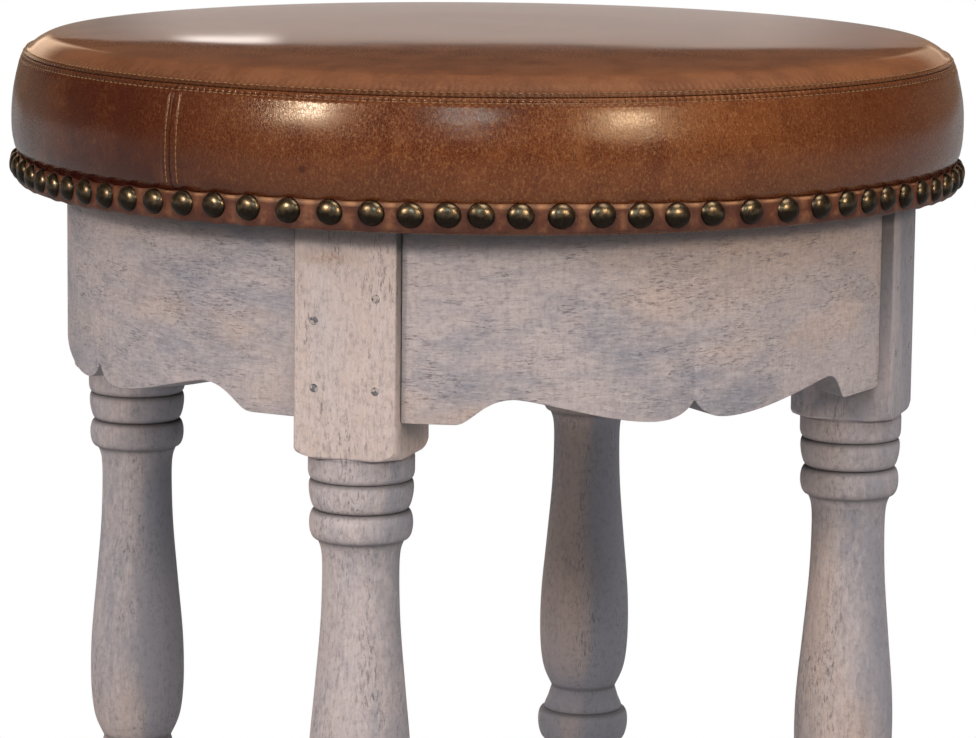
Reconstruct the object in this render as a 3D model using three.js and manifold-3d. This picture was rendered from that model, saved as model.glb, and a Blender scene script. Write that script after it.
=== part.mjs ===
// Round upholstered stool: a leather seat with a nailed rim on a frame of four
// curved, scalloped aprons and four turned legs. Millimetres, +Z up, the origin
// on the floor below the middle of the seat. The aprons face X and Y, and the
// legs stand on the diagonals.
import * as THREE from 'three';
import { mergeVertices } from 'three/addons/utils/BufferGeometryUtils.js';
import Module from 'manifold-3d';

// Whole stool
const seat_radius = 246; // outer face of the nailed strip
const frame_height = 418; // floor to the top of the legs and aprons
const seat_overhang = 27; // strip beyond the aprons' outer face
const touch_gap = 0.3; // between pieces that touch
const overrun = 5; // how far a cutting shape passes the face that it cuts
const weld_distance = 0.0001; // between points of a shape that are one
const corner_count = 4;

// Leather cover
const leather = 1.4;
const boxing_height = 64.4; // lower edge of the strip to the seam
const seam_inset = 4.25; // seam inside the strip's outer face
const boxing_bulge = 6.05; // widest part of the boxing beyond the seam
const crown_rise = 14.5; // seam to the middle of the seat
const hem_width = 8; // doubled leather beside the seam
const turn_under = 17; // leather below the board's rim
const boxing_joint_angle = -155; // degrees, where the two boxing panels meet
// Radius and rise of the crown, from the middle to the seam
const crown_shares = [
  [0, 1], [0.33, 0.959], [0.6, 0.863], [0.8, 0.757], [0.88, 0.703], [0.92, 0.663],
  [0.945, 0.587], [0.967, 0.41], [0.985, 0.2], [1, 0],
];
// Height and bulge of the boxing, from the seam to the strip's upper edge
const boxing_shares = [
  [1, 0], [0.85, 0.44], [0.7, 0.73], [0.53, 0.935], [0.36, 1], [0.2, 0.95], [0.08, 0.8],
  [0.03, 0.6],
];
const crown_steps = 9;
const boxing_steps = 6;
const filling_crown_steps = 5;
const filling_side_steps = 3;

// Nailed strip
const strip_height = 13.8;
const strip_thickness = 2.5;
const strip_drop = 1; // lower edge below the board
const nail_radius = 6.5;
const nail_rise = 3.4;
const nail_height = 7.2; // nail centres above the strip's lower edge
const nail_pitch = 18.6; // wanted spacing, rounded to a whole number of nails
const first_nail_angle = -109.3; // degrees
const nail_sides = 8;
// Radius and rise of a nail's dome, from inside the strip's face to its top
const dome_shares = [[0, -0.18], [1.05, -0.18], [0.76, 0.62], [0, 1]];

// Board, filling and cloth
const board_thickness = 18;
const wadding_thickness = 5;
const cloth_thickness = 1;
const cloth_margin = 2; // cloth inside the turned leather

// Aprons
const apron_thickness = 22;
const apron_depth = 94.2;
const notch_rise = 9.6; // pointed notch in the middle
const arch_rise = 12.4; // long arches at its sides
const lobe_reach = 20; // middle to the low point of a lobe
const arch_reach = 88.5; // middle to the top of an arch
const long_cove = 24.5; // arch to the flat end, at the apron's wide end
const short_cove = 12.5; // the same at its narrow end
const notch_bend_share = 0.28; // of lobe_reach
const arch_bend_shares = [0.35, 0.85]; // between lobe and arch
const cove_bend_shares = [0.55, 0.75]; // between arch and flat end

// Joints of aprons and legs
const tenon_thickness = 9;
const tenon_length = 18;
const tenon_top_drop = 10; // below the top of the frame
const tenon_bottom_margin = 6; // above the apron's lower edge
const tenon_root = 4; // inside the apron
const pin_radius = 2;
const pin_length = 30;
const pin_setback = 10.5; // from the leg's side face
const upper_pin_drop = 34; // below the top of the frame
const pin_stagger = 12; // how much lower the upper pin of the other tenon is
const lower_pin_rise = 15.7; // above the apron's lower edge

// Legs
const leg_square = 52;
const block_proud = 4.6; // leg's outer face beyond the aprons
const block_length = 113;
const block_edge = 1.5; // chamfer of the block's upright edges
const shoulder_height = 8; // turned round under the block's corners
const shoulder_step = 0.6; // shoulder beyond the collar
const collar_height = 12.5;
const collar_foot_share = 0.27; // rounded part of the collar
const groove_depth = 2;
const bead_height = 14.8;
const bead_radius = 25.3;
const low_groove_radius = 22;
const neck_top_radius = 21.4;
const turned_radius = 25.8; // lower bead, and base of the vase's shares
const cone_height = 13;
const cone_radius = 22.5;
const lower_bead_height = 18.5;
const lower_bead_foot_radius = 20.8;
const foot_height = 65.5;
// Height from the top and radius of the vase
const vase_shares = [
  [0, 0.83], [0.04, 0.748], [0.12, 0.729], [0.27, 0.76], [0.46, 0.86],
  [0.64, 0.961], [0.77, 0.986], [0.87, 0.957], [0.94, 0.876], [1, 0.705],
];
// Height from the top and radius of the foot
const foot_shares = [
  [0, 0.806], [0.06, 0.72], [0.13, 0.7], [0.38, 0.765], [0.65, 0.73], [0.92, 0.63], [1, 0.56],
];
const vase_steps = 9;
const foot_steps = 5;
const bead_steps = 4;
const shoulder_steps = 2;

// Corner blocks, screws and glides
const corner_block_depth = 20; // inward from the leg
const corner_block_reach = 68; // half of its width
const corner_block_height = 22;
const corner_block_drop = 2; // below the top of the frame
const corner_screw_reach = 48; // from the diagonal
const corner_screw_length = 52;
const seat_screw_length = 36;
const screw_radius = 2;
const screw_head_radius = 4.2;
const screw_head_height = 2.6;
const screw_tip_height = 4;
const glide_radius = 10;
const glide_height = 4;
const glide_edge = 1.5;
const glide_pin_radius = 1.6;
const glide_pin_length = 14;

// Facets round each kind of piece
const seat_sides = 48;
const filling_sides = 24;
const leg_sides = 16;
const pin_sides = 8;
const screw_sides = 8;
const glide_sides = 10;
const apron_sides = 9; // in each half of the arc
const scallop_sides = 5; // in each curve of the lower edge
const corner_arc_sides = 2;

// Heights and radii that follow
const cloth_bottom = frame_height + touch_gap;
const board_bottom = cloth_bottom + Math.max(leather, cloth_thickness) + touch_gap;
const board_top = board_bottom + board_thickness;
const strip_bottom = board_bottom - strip_drop;
const strip_top = strip_bottom + strip_height;
const seam_height = strip_bottom + boxing_height;
const seam_radius = seat_radius - seam_inset;
const strip_back = seat_radius - strip_thickness;
const cover_radius = strip_back - touch_gap;
const board_radius = cover_radius - leather - touch_gap;
const flange_radius = cover_radius - turn_under;
const filling_bottom = board_top + touch_gap;
const apron_radius = seat_radius - seat_overhang;
const apron_back = apron_radius - apron_thickness;
const apron_bottom = frame_height - apron_depth;
const leg_half = leg_square / 2;
const leg_out = apron_radius + block_proud;
const leg_circle = leg_out - leg_half;
const leg_in = leg_out - leg_square;
const leg_bottom = glide_height + touch_gap;
const block_bottom = frame_height - block_length;
const tenon_place = Math.sqrt((apron_radius - apron_thickness / 2) ** 2 - leg_half ** 2);
const corner_block_in = leg_in - touch_gap - corner_block_depth;
const corner_block_top = frame_height - corner_block_drop;
const corner_block_bottom = corner_block_top - corner_block_height;
const corner_screw_seat = corner_block_in - touch_gap;
const corner_screw_height = (corner_block_top + corner_block_bottom) / 2;
const seat_screw_seat = corner_block_bottom - touch_gap;
const seat_screw_place = corner_block_in + corner_block_depth / 2;
const right_angle = Math.PI / 2;
const corner_angle = Math.PI / 4;

const wasm = await Module();
wasm.setup();

// A closed geometry as a solid, its vertices merged and its faces pointing out
function solidOf(geometry) {
  const bare = geometry.clone();
  bare.deleteAttribute('normal');
  bare.deleteAttribute('uv');
  const welded = mergeVertices(bare, weld_distance);
  const source = welded.index.array;
  const place = welded.attributes.position;
  const corners = [0, 1, 2].map(() => new THREE.Vector3());
  const faces = [];
  let volume = 0;
  for (let i = 0; i < source.length; i += 3) {
    const face = [source[i], source[i + 1], source[i + 2]];
    if (new Set(face).size < 3) continue;
    corners.forEach((corner, k) => corner.fromBufferAttribute(place, face[k]));
    volume += corners[0].dot(corners[1].cross(corners[2]));
    faces.push(face);
  }
  const outward = volume < 0 ? faces.map((face) => face.reverse()) : faces;
  return new wasm.Manifold(new wasm.Mesh({
    numProp: 3,
    vertProperties: new Float32Array(place.array),
    triVerts: new Uint32Array(outward.flat()),
  }));
}

// A solid as a named mesh with flat faces
function piece(name, solid, material) {
  const { vertProperties, triVerts } = solid.getMesh();
  const geometry = new THREE.BufferGeometry();
  geometry.setAttribute('position', new THREE.BufferAttribute(vertProperties, 3));
  geometry.setIndex(new THREE.BufferAttribute(triVerts, 1));
  const flat = geometry.toNonIndexed();
  flat.computeVertexNormals();
  const mesh = new THREE.Mesh(flat, material);
  mesh.name = name;
  return mesh;
}

// A solid turned about +Z by an angle in radians
function swung(solid, angle) {
  return solid.rotate([0, 0, THREE.MathUtils.radToDeg(angle)]);
}

// A profile of [radius, height] revolved about +Z
function turned(profile, sides, start = 0) {
  const points = profile.map(([radius, height]) => new THREE.Vector2(radius, height));
  return solidOf(new THREE.LatheGeometry(points, sides, start).rotateX(right_angle));
}

// A box between two corners
function boxBetween(low, high) {
  const size = high.map((value, i) => value - low[i]);
  const middle = high.map((value, i) => (value + low[i]) / 2);
  return solidOf(new THREE.BoxGeometry(...size).translate(...middle));
}

// A round bar along +X, from one place to another
function barAlongX(radius, from, to, across, height, sides) {
  const bar = new THREE.CylinderGeometry(radius, radius, to - from, sides);
  return solidOf(bar.rotateZ(right_angle).translate((from + to) / 2, across, height));
}

// A round bar along +Z, from one height to another
function barAlongZ(radius, bottom, top, place, sides) {
  const bar = new THREE.CylinderGeometry(radius, radius, top - bottom, sides);
  return solidOf(bar.rotateX(right_angle).translate(place, 0, (bottom + top) / 2));
}

// A flat outline raised along +Z
function raised(shape, depth, curve_steps) {
  const settings = { depth, bevelEnabled: false, curveSegments: curve_steps };
  return new THREE.ExtrudeGeometry(shape, settings);
}

// Points along a smooth curve through a table of two columns
function smooth(table, steps) {
  const curve = new THREE.SplineCurve(table.map(([a, b]) => new THREE.Vector2(a, b)));
  return curve.getPoints(steps).map((point) => [point.x, point.y]);
}

const materials = {
  leather: new THREE.MeshStandardMaterial({ color: 0x8a5230, roughness: 0.35, metalness: 0 }),
  brass: new THREE.MeshStandardMaterial({ color: 0x7d5f33, roughness: 0.3, metalness: 0.9 }),
  wood: new THREE.MeshStandardMaterial({ color: 0xa79e9a, roughness: 0.75, metalness: 0 }),
  pin: new THREE.MeshStandardMaterial({ color: 0x7f7f86, roughness: 0.75, metalness: 0 }),
  plywood: new THREE.MeshStandardMaterial({ color: 0xc9a877, roughness: 0.8, metalness: 0 }),
  foam: new THREE.MeshStandardMaterial({ color: 0xe6dcb8, roughness: 1, metalness: 0 }),
  wadding: new THREE.MeshStandardMaterial({ color: 0xf2f0ea, roughness: 1, metalness: 0 }),
  cloth: new THREE.MeshStandardMaterial({ color: 0x1d1d1f, roughness: 0.95, metalness: 0 }),
  steel: new THREE.MeshStandardMaterial({ color: 0xa5a7aa, roughness: 0.35, metalness: 1 }),
  glide: new THREE.MeshStandardMaterial({ color: 0x4a4440, roughness: 0.5, metalness: 0 }),
};

// Crown of the seat, drawn in from the leather's outer face by one distance
function crownLine(inset, steps = crown_steps) {
  const radius_share = (seam_radius - inset) / seam_radius;
  return smooth(crown_shares, steps).map(([radius, rise]) => [
    Math.max(radius, 0) * seam_radius * radius_share,
    seam_height + rise * crown_rise - inset,
  ]);
}

// Side of the seat from the seam to the strip's upper edge, drawn in likewise
function boxingLine(inset, steps = boxing_steps) {
  return smooth(boxing_shares, steps).map(([height, bulge]) => [
    seam_radius + bulge * boxing_bulge - inset,
    strip_top + height * (seam_height - strip_top),
  ]);
}

// Leather panel over the crown, with a doubled rim at the seam
function leatherTop() {
  const lift = touch_gap / 2;
  const outside = crownLine(0);
  const inside = outside.map(([radius], i) => {
    const doubled = radius > seam_radius - hem_width;
    return crownLine(doubled ? 2 * leather : leather)[i];
  });
  const profile = [...outside, ...inside.reverse()];
  return turned(profile.map(([radius, height]) => [radius, height + lift]), seat_sides);
}

// Leather band round the side, doubled at the seam and turned under the board
function boxingRing() {
  const outside = boxingLine(0);
  const inside = outside.map(([, height], i) => {
    const doubled = height > seam_height - hem_width;
    return boxingLine(doubled ? 2 * leather : leather)[i];
  });
  const seam_drop = touch_gap / 2;
  outside[0][1] -= seam_drop;
  inside[0][1] -= seam_drop + 2 * leather;
  const fold = board_bottom - touch_gap;
  const tuck = leather / 2;
  const profile = [
    ...outside,
    [cover_radius, strip_top + touch_gap],
    [cover_radius, fold - leather + tuck],
    [cover_radius - tuck, fold - leather],
    [flange_radius, fold - leather],
    [flange_radius, fold],
    [cover_radius - leather, fold],
    [cover_radius - leather, strip_top + touch_gap],
    ...inside.reverse(),
  ];
  return turned([...profile, profile[0]], seat_sides);
}

// One half of the boxing, on one side of the joint
function boxingHalf(side) {
  const reach = seat_radius + boxing_bulge + overrun;
  const low = [-reach, touch_gap / 2, 0];
  const high = [reach, reach, seam_height + overrun];
  const turn = THREE.MathUtils.degToRad(boxing_joint_angle) + (side > 0 ? 0 : Math.PI);
  return boxingRing().intersect(swung(boxBetween(low, high), turn));
}

// Filling below the leather, from the crown down to the board
function fillingLine(inset) {
  const top = seam_height - inset;
  const line = boxingLine(inset, filling_side_steps);
  const side = line.filter(([, height]) => height < top && height > filling_bottom);
  const [foot_radius] = side[side.length - 1];
  return [...crownLine(inset, filling_crown_steps), ...side, [foot_radius, filling_bottom]];
}

const wadding_inset = 2 * leather + touch_gap;
const foam_inset = wadding_inset + wadding_thickness + touch_gap;

function wadding() {
  const inside = fillingLine(wadding_inset + wadding_thickness);
  return turned([...fillingLine(wadding_inset), ...inside.reverse()], filling_sides);
}

function foamCore() {
  return turned([...fillingLine(foam_inset), [0, filling_bottom]], filling_sides);
}

// Strip with its dome-headed nails
function nailStrip() {
  const count = Math.round((2 * Math.PI * seat_radius) / nail_pitch);
  const step = (2 * Math.PI) / count;
  const profile = [
    [strip_back, strip_bottom],
    [seat_radius, strip_bottom],
    [seat_radius, strip_top],
    [strip_back, strip_top],
    [strip_back, strip_bottom],
  ];
  const first = THREE.MathUtils.degToRad(first_nail_angle);
  const face = seat_radius * Math.cos(step / 2);
  const dome = dome_shares.map(([radius, rise]) => [radius * nail_radius, rise * nail_rise]);
  const upright = turned(dome, nail_sides, Math.PI / nail_sides);
  const quarter_turn = THREE.MathUtils.radToDeg(right_angle);
  const place = [face, 0, strip_bottom + nail_height];
  const head = upright.rotate([0, quarter_turn, 0]).translate(place);
  let strip = swung(turned(profile, count), step / 2);
  for (let i = 0; i < count; i++) {
    strip = strip.add(swung(head, i * step));
  }
  return swung(strip, first);
}

// Plywood disc with blind holes for the seat screws
function seatBoard() {
  const profile = [
    [0, board_bottom],
    [board_radius, board_bottom],
    [board_radius, board_top],
    [0, board_top],
  ];
  return withScrewHoles(turned(profile, seat_sides));
}

// Cloth under the board, with holes for the seat screws
function dustCover() {
  const radius = flange_radius - cloth_margin;
  const top = cloth_bottom + cloth_thickness;
  const profile = [[0, cloth_bottom], [radius, cloth_bottom], [radius, top], [0, top]];
  return withScrewHoles(turned(profile, seat_sides));
}

// A disc of the seat with the holes of the four seat screws
function withScrewHoles(disc) {
  let body = disc;
  for (let quarter = 0; quarter < corner_count; quarter++) {
    body = body.subtract(swung(seatScrewHole(), corner_angle + quarter * right_angle));
  }
  return body;
}

// The following shapes lie in a corner's own frame, with +X along the diagonal
// from the middle of the stool through the leg. A side of +1 or -1 is towards
// +Y or -Y there.

// Heights of the two pins through the tenon on one side of a leg
function pinHeights(side) {
  const upper = upper_pin_drop + (side > 0 ? 0 : pin_stagger);
  return [frame_height - upper, apron_bottom + lower_pin_rise];
}

function pinBar(side, height, clearance) {
  const across = side * (leg_half - pin_setback);
  const from = leg_out - pin_length - clearance;
  return barAlongX(pin_radius + clearance, from, leg_out + clearance, across, height, pin_sides);
}

// Tenon on one side of the leg, with a clearance all round for its mortise
function tenonBox(side, root, clearance) {
  const half = tenon_thickness / 2 + clearance;
  const tip = leg_half - tenon_length - clearance;
  const ends = [side * tip, side * (leg_half + root)].sort((a, b) => a - b);
  const low = [tenon_place - half, ends[0], apron_bottom + tenon_bottom_margin - clearance];
  const high = [tenon_place + half, ends[1], frame_height - tenon_top_drop + clearance];
  return boxBetween(low, high);
}

// Hole of the screw through the corner block and into the apron on one side
function cornerScrewHole(side) {
  const tip = corner_screw_seat + corner_screw_length + touch_gap;
  const across = side * corner_screw_reach;
  const radius = screw_radius + touch_gap;
  const mouth = corner_screw_seat - overrun;
  return barAlongX(radius, mouth, tip, across, corner_screw_height, screw_sides);
}

// Hole of the screw up through the corner block, the cloth and into the board
function seatScrewHole() {
  const mouth = seat_screw_seat - overrun;
  const tip = seat_screw_seat + seat_screw_length + touch_gap;
  return barAlongZ(screw_radius + touch_gap, mouth, tip, seat_screw_place, screw_sides);
}

// Lower edge of an apron between its flat ends, from one end to the other
function scallopShape(hand) {
  const runs = hand > 0 ? [short_cove, long_cove] : [long_cove, short_cove];
  const arch = apron_bottom + arch_rise;
  const notch = apron_bottom + notch_rise;
  const between = (from, to, share) => from + (to - from) * share;
  const ends = [-(arch_reach + runs[0]), arch_reach + runs[1]];
  const shape = new THREE.Shape();
  shape.moveTo(ends[0], apron_bottom);
  const [near_cove, far_cove] = [...cove_bend_shares].reverse();
  shape.bezierCurveTo(
    between(-arch_reach, ends[0], near_cove), apron_bottom,
    between(-arch_reach, ends[0], far_cove), arch,
    -arch_reach, arch,
  );
  shape.bezierCurveTo(
    between(-lobe_reach, -arch_reach, arch_bend_shares[1]), arch,
    between(-lobe_reach, -arch_reach, arch_bend_shares[0]), apron_bottom,
    -lobe_reach, apron_bottom,
  );
  shape.quadraticCurveTo(-lobe_reach * notch_bend_share, apron_bottom, 0, notch);
  shape.quadraticCurveTo(lobe_reach * notch_bend_share, apron_bottom, lobe_reach, apron_bottom);
  shape.bezierCurveTo(
    between(lobe_reach, arch_reach, arch_bend_shares[0]), apron_bottom,
    between(lobe_reach, arch_reach, arch_bend_shares[1]), arch,
    arch_reach, arch,
  );
  shape.bezierCurveTo(
    between(arch_reach, ends[1], cove_bend_shares[0]), arch,
    between(arch_reach, ends[1], cove_bend_shares[1]), apron_bottom,
    ends[1], apron_bottom,
  );
  shape.lineTo(ends[1], apron_bottom - overrun);
  shape.lineTo(ends[0], apron_bottom - overrun);
  shape.closePath();
  return shape;
}

// Apron facing +X, with a tenon at each end
function apron(hand) {
  const sector = new THREE.Shape();
  sector.absarc(0, 0, apron_radius, -corner_angle, corner_angle, false);
  sector.absarc(0, 0, apron_back, corner_angle, -corner_angle, true);
  sector.closePath();
  const rail = raised(sector, apron_depth, apron_sides).translate(0, 0, apron_bottom);
  const cutter = raised(scallopShape(hand), apron_radius + overrun, scallop_sides);
  const upright = new THREE.Matrix4().makeBasis(
    new THREE.Vector3(0, 1, 0), new THREE.Vector3(0, 0, 1), new THREE.Vector3(1, 0, 0),
  );
  let body = solidOf(rail).subtract(solidOf(cutter.applyMatrix4(upright)));
  for (const end of [1, -1]) {
    const turn = end * corner_angle;
    const side = -end;
    const clear = leg_half + touch_gap;
    const leg_room = boxBetween(
      [0, -clear, apron_bottom - overrun],
      [leg_out + overrun, clear, frame_height + overrun],
    );
    body = body.subtract(swung(leg_room, turn)).add(swung(tenonBox(side, tenon_root, 0), turn));
    for (const height of pinHeights(side)) {
      body = body.subtract(swung(pinBar(side, height, touch_gap), turn));
    }
    body = body.subtract(swung(cornerScrewHole(side), turn));
  }
  return body;
}

// A round bead between two grooves, downwards from its top
function bead(top, height, top_radius, crest_radius, foot_radius) {
  const swell = crest_radius - (top_radius + foot_radius) / 2;
  const points = [];
  for (let i = 1; i <= bead_steps; i++) {
    const angle = (Math.PI * i) / bead_steps;
    const share = (1 - Math.cos(angle)) / 2;
    const radius = top_radius + (foot_radius - top_radius) * share + swell * Math.sin(angle);
    points.push([radius, top - share * height]);
  }
  return points;
}

// A smooth stretch of a leg from a table of shares, downwards from its top
function turning(table, steps, top, height) {
  return smooth(table, steps).map(([drop, radius]) => [
    radius * turned_radius,
    top - drop * height,
  ]);
}

// Profile of the turned part of a leg, from inside the block to the floor end
function legProfile() {
  const collar_foot = collar_height * collar_foot_share;
  const first_bead = block_bottom - collar_height;
  const second_bead = first_bead - bead_height;
  const vase = second_bead - bead_height;
  const foot = leg_bottom + foot_height;
  const lower_bead = foot + lower_bead_height;
  const cone = lower_bead + cone_height;
  const first_groove_radius = leg_half - groove_depth;
  return [
    [0, block_bottom + overrun],
    [leg_half - shoulder_step, block_bottom + overrun],
    [leg_half - shoulder_step, block_bottom],
    [leg_half, block_bottom - shoulder_step],
    [leg_half, first_bead + collar_foot],
    [first_groove_radius, first_bead],
    ...bead(first_bead, bead_height, first_groove_radius, bead_radius, low_groove_radius),
    ...bead(second_bead, bead_height, low_groove_radius, bead_radius, neck_top_radius),
    ...turning(vase_shares, vase_steps, vase, vase - cone).slice(1),
    [cone_radius, lower_bead],
    ...bead(lower_bead, lower_bead_height, cone_radius, turned_radius, lower_bead_foot_radius),
    ...turning(foot_shares, foot_steps, foot, foot_height).slice(1),
    [0, leg_bottom],
  ];
}

// Square block of a leg, its corners turned round at the lower end
function legBlock() {
  const edge = leg_half - block_edge;
  const square = new THREE.Shape([
    [edge, -leg_half], [leg_half, -edge], [leg_half, edge], [edge, leg_half],
    [-edge, leg_half], [-leg_half, edge], [-leg_half, -edge], [-edge, -leg_half],
  ].map(([x, y]) => new THREE.Vector2(x, y)));
  const post = raised(square, block_length, 1).translate(0, 0, block_bottom);
  const corner = Math.hypot(leg_half, leg_half);
  const inner = leg_half + shoulder_step;
  const rounding = [];
  for (let i = 0; i <= shoulder_steps; i++) {
    const angle = (right_angle * i) / shoulder_steps;
    rounding.push([
      inner + (corner - inner) * Math.sin(angle),
      block_bottom + shoulder_height * (1 - Math.cos(angle)),
    ]);
  }
  const top = frame_height + overrun;
  const profile = [[0, block_bottom], ...rounding, [corner + overrun, top], [0, top]];
  return solidOf(post).intersect(turned(profile, leg_sides, Math.PI / leg_sides));
}

function leg() {
  let body = legBlock().add(turned(legProfile(), leg_sides)).translate([leg_circle, 0, 0]);
  for (const side of [1, -1]) {
    body = body.subtract(tenonBox(side, overrun, touch_gap));
    for (const height of pinHeights(side)) {
      body = body.subtract(pinBar(side, height, touch_gap));
    }
  }
  const hole_top = leg_bottom + glide_pin_length + touch_gap;
  const hole = barAlongZ(glide_pin_radius + touch_gap, 0, hole_top, leg_circle, pin_sides);
  return body.subtract(hole);
}

// Block behind a leg, fitted round it and against the two aprons
function cornerBlock() {
  const radius = apron_back - touch_gap;
  const notch = leg_half + touch_gap;
  const far = Math.asin(corner_block_reach / radius);
  const near = Math.asin(notch / radius);
  const shape = new THREE.Shape();
  shape.moveTo(corner_block_in, corner_block_reach);
  shape.lineTo(corner_block_in, -corner_block_reach);
  shape.absarc(0, 0, radius, -far, -near, false);
  shape.lineTo(leg_in - touch_gap, -notch);
  shape.lineTo(leg_in - touch_gap, notch);
  shape.absarc(0, 0, radius, near, far, false);
  shape.closePath();
  const plate = raised(shape, corner_block_height, corner_arc_sides);
  let body = solidOf(plate.translate(0, 0, corner_block_bottom));
  for (const side of [1, -1]) {
    body = body.subtract(cornerScrewHole(side));
  }
  return body.subtract(seatScrewHole());
}

// Screw with its head's seat at the origin and its point up
function screw(length) {
  return turned([
    [0, -screw_head_height],
    [screw_head_radius, -screw_head_height],
    [screw_head_radius, 0],
    [screw_radius, 0],
    [screw_radius, length - screw_tip_height],
    [0, length],
  ], screw_sides);
}

function glide() {
  return turned([
    [0, 0],
    [glide_radius - glide_edge, 0],
    [glide_radius, glide_edge],
    [glide_radius, glide_height],
    [glide_pin_radius, glide_height],
    [glide_pin_radius, glide_height + glide_pin_length],
    [0, glide_height + glide_pin_length],
  ], glide_sides);
}

// Seat
const stool = new THREE.Group();
const seat = new THREE.Group();
seat.add(piece('leather_top', leatherTop(), materials.leather));
seat.add(piece('boxing_front', boxingHalf(1), materials.leather));
seat.add(piece('boxing_back', boxingHalf(-1), materials.leather));
seat.add(piece('nail_strip', nailStrip(), materials.brass));
seat.add(piece('wadding', wadding(), materials.wadding));
seat.add(piece('foam_core', foamCore(), materials.foam));
seat.add(piece('seat_board', seatBoard(), materials.plywood));
seat.add(piece('dust_cover', dustCover(), materials.cloth));
stool.add(seat);

// Aprons, each facing its own way; neighbours are turned end for end
const apron_names = ['right', 'back', 'left', 'front'];
apron_names.forEach((name, quarter) => {
  const hand = quarter % 2 === 0 ? 1 : -1;
  const mesh = piece(`apron_${name}`, apron(hand), materials.wood);
  mesh.rotation.z = quarter * right_angle;
  stool.add(mesh);
});

// Corners, each with its leg, pins, block, screws and glide
const corner_names = ['back_right', 'back_left', 'front_left', 'front_right'];
corner_names.forEach((name, quarter) => {
  const corner = new THREE.Group();
  corner.rotation.z = corner_angle + quarter * right_angle;
  corner.add(piece(`leg_${name}`, leg(), materials.wood));
  corner.add(piece(`corner_block_${name}`, cornerBlock(), materials.wood));
  for (const side of [1, -1]) {
    const place = side > 0 ? 'a' : 'b';
    pinHeights(side).forEach((height, level) => {
      const bar = pinBar(side, height, 0);
      corner.add(piece(`pin_${name}_${place}${level + 1}`, bar, materials.pin));
    });
    const shank = screw(corner_screw_length);
    const fixing = piece(`corner_screw_${name}_${place}`, shank, materials.steel);
    fixing.rotation.y = right_angle;
    fixing.position.set(corner_screw_seat, side * corner_screw_reach, corner_screw_height);
    corner.add(fixing);
  }
  const seat_screw = piece(`seat_screw_${name}`, screw(seat_screw_length), materials.steel);
  seat_screw.position.set(seat_screw_place, 0, seat_screw_seat);
  corner.add(seat_screw);
  const foot = piece(`glide_${name}`, glide(), materials.glide);
  foot.position.x = leg_circle;
  corner.add(foot);
  stool.add(corner);
});

export default stool;
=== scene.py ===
"""Round footstool: stitched leather seat, nailed leather strip, limed turned frame."""

import bisect
import logging
import math
import random
from dataclasses import dataclass, field
from enum import Enum
from typing import Any, Callable, Optional, Sequence, Union

import bpy
from mathutils import Matrix, Vector, noise


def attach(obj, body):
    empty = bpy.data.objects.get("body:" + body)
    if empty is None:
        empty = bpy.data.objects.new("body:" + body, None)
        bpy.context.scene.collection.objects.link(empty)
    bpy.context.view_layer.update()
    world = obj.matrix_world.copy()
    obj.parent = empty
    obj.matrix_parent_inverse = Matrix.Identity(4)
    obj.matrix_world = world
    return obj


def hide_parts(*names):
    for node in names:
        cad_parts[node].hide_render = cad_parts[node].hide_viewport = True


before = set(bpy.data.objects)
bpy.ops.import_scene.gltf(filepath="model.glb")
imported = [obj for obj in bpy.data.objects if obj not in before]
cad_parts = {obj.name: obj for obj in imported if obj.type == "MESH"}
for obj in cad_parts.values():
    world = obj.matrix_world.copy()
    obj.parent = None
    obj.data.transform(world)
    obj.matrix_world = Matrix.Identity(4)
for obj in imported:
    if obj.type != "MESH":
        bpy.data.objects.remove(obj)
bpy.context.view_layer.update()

log = logging.getLogger("footstool")

MM = 0.001
WELD = 0.00001
# A place that no two edges or faces are equally far from
SORTED_FROM = (0.31, 0.173, 0.23)
ROOT = "root"
Point = tuple[float, float]
Colour = tuple[float, float, float]
Piece = bpy.types.Object
WHITE: Colour = (1.0, 1.0, 1.0)


# Outlines


def spline(points: Sequence[Point], count: int) -> list[Point]:
    """Draws an even smooth curve through points.

    Args:
        points: The points that the curve passes.
        count: How many stretches the curve is cut into.

    Returns:
        The count + 1 points along the curve.
    """
    last = len(points) - 1
    drawn = []
    for step in range(count + 1):
        at = last * step / count
        left = min(int(at), last - 1) if step < count else last - 1
        t = at - left
        p0, p1 = points[max(left - 1, 0)], points[left]
        p2, p3 = points[left + 1], points[min(left + 2, last)]
        spot = []
        for a, b, c, d in zip(p0, p1, p2, p3):
            rise, fall = (c - a) / 2, (d - b) / 2
            spot.append((2 * b - 2 * c + rise + fall) * t**3
                        + (3 * c - 3 * b - 2 * rise - fall) * t**2 + rise * t + b)
        drawn.append((spot[0], spot[1]))
    return drawn


def bezier(points: Sequence[Point], count: int) -> list[Point]:
    """Draws a Bezier curve of any degree.

    Args:
        points: Its first point, its handles and its last point.
        count: How many stretches the curve is cut into.

    Returns:
        The points after the first one.
    """
    drawn = []
    for step in range(1, count + 1):
        t = step / count
        left = [Vector(point) for point in points]
        while len(left) > 1:
            left = [a.lerp(b, t) for a, b in zip(left, left[1:])]
        drawn.append((left[0].x, left[0].y))
    return drawn


def ease(value: float, low: float, high: float) -> float:
    """Rises smoothly from 0 at low to 1 at high."""
    share = min(max((value - low) / (high - low), 0.0), 1.0)
    return share * share * (3 - 2 * share)


def swell(distance: float, width: float) -> float:
    """A round bump of height 1 at distance 0, gone at about twice the width."""
    return math.exp(-((distance / width) ** 2))


def polar(radius: float, angle: float, height: float) -> Vector:
    """A point at a distance from the upright axis, an angle about it and a height."""
    return Vector((radius * math.cos(angle), radius * math.sin(angle), height))


def reach(co: Vector) -> float:
    """Distance of a point from the upright axis."""
    return math.hypot(co.x, co.y)


def heading(co: Vector) -> float:
    """Angle of a point about the upright axis."""
    return math.atan2(co.y, co.x)


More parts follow.
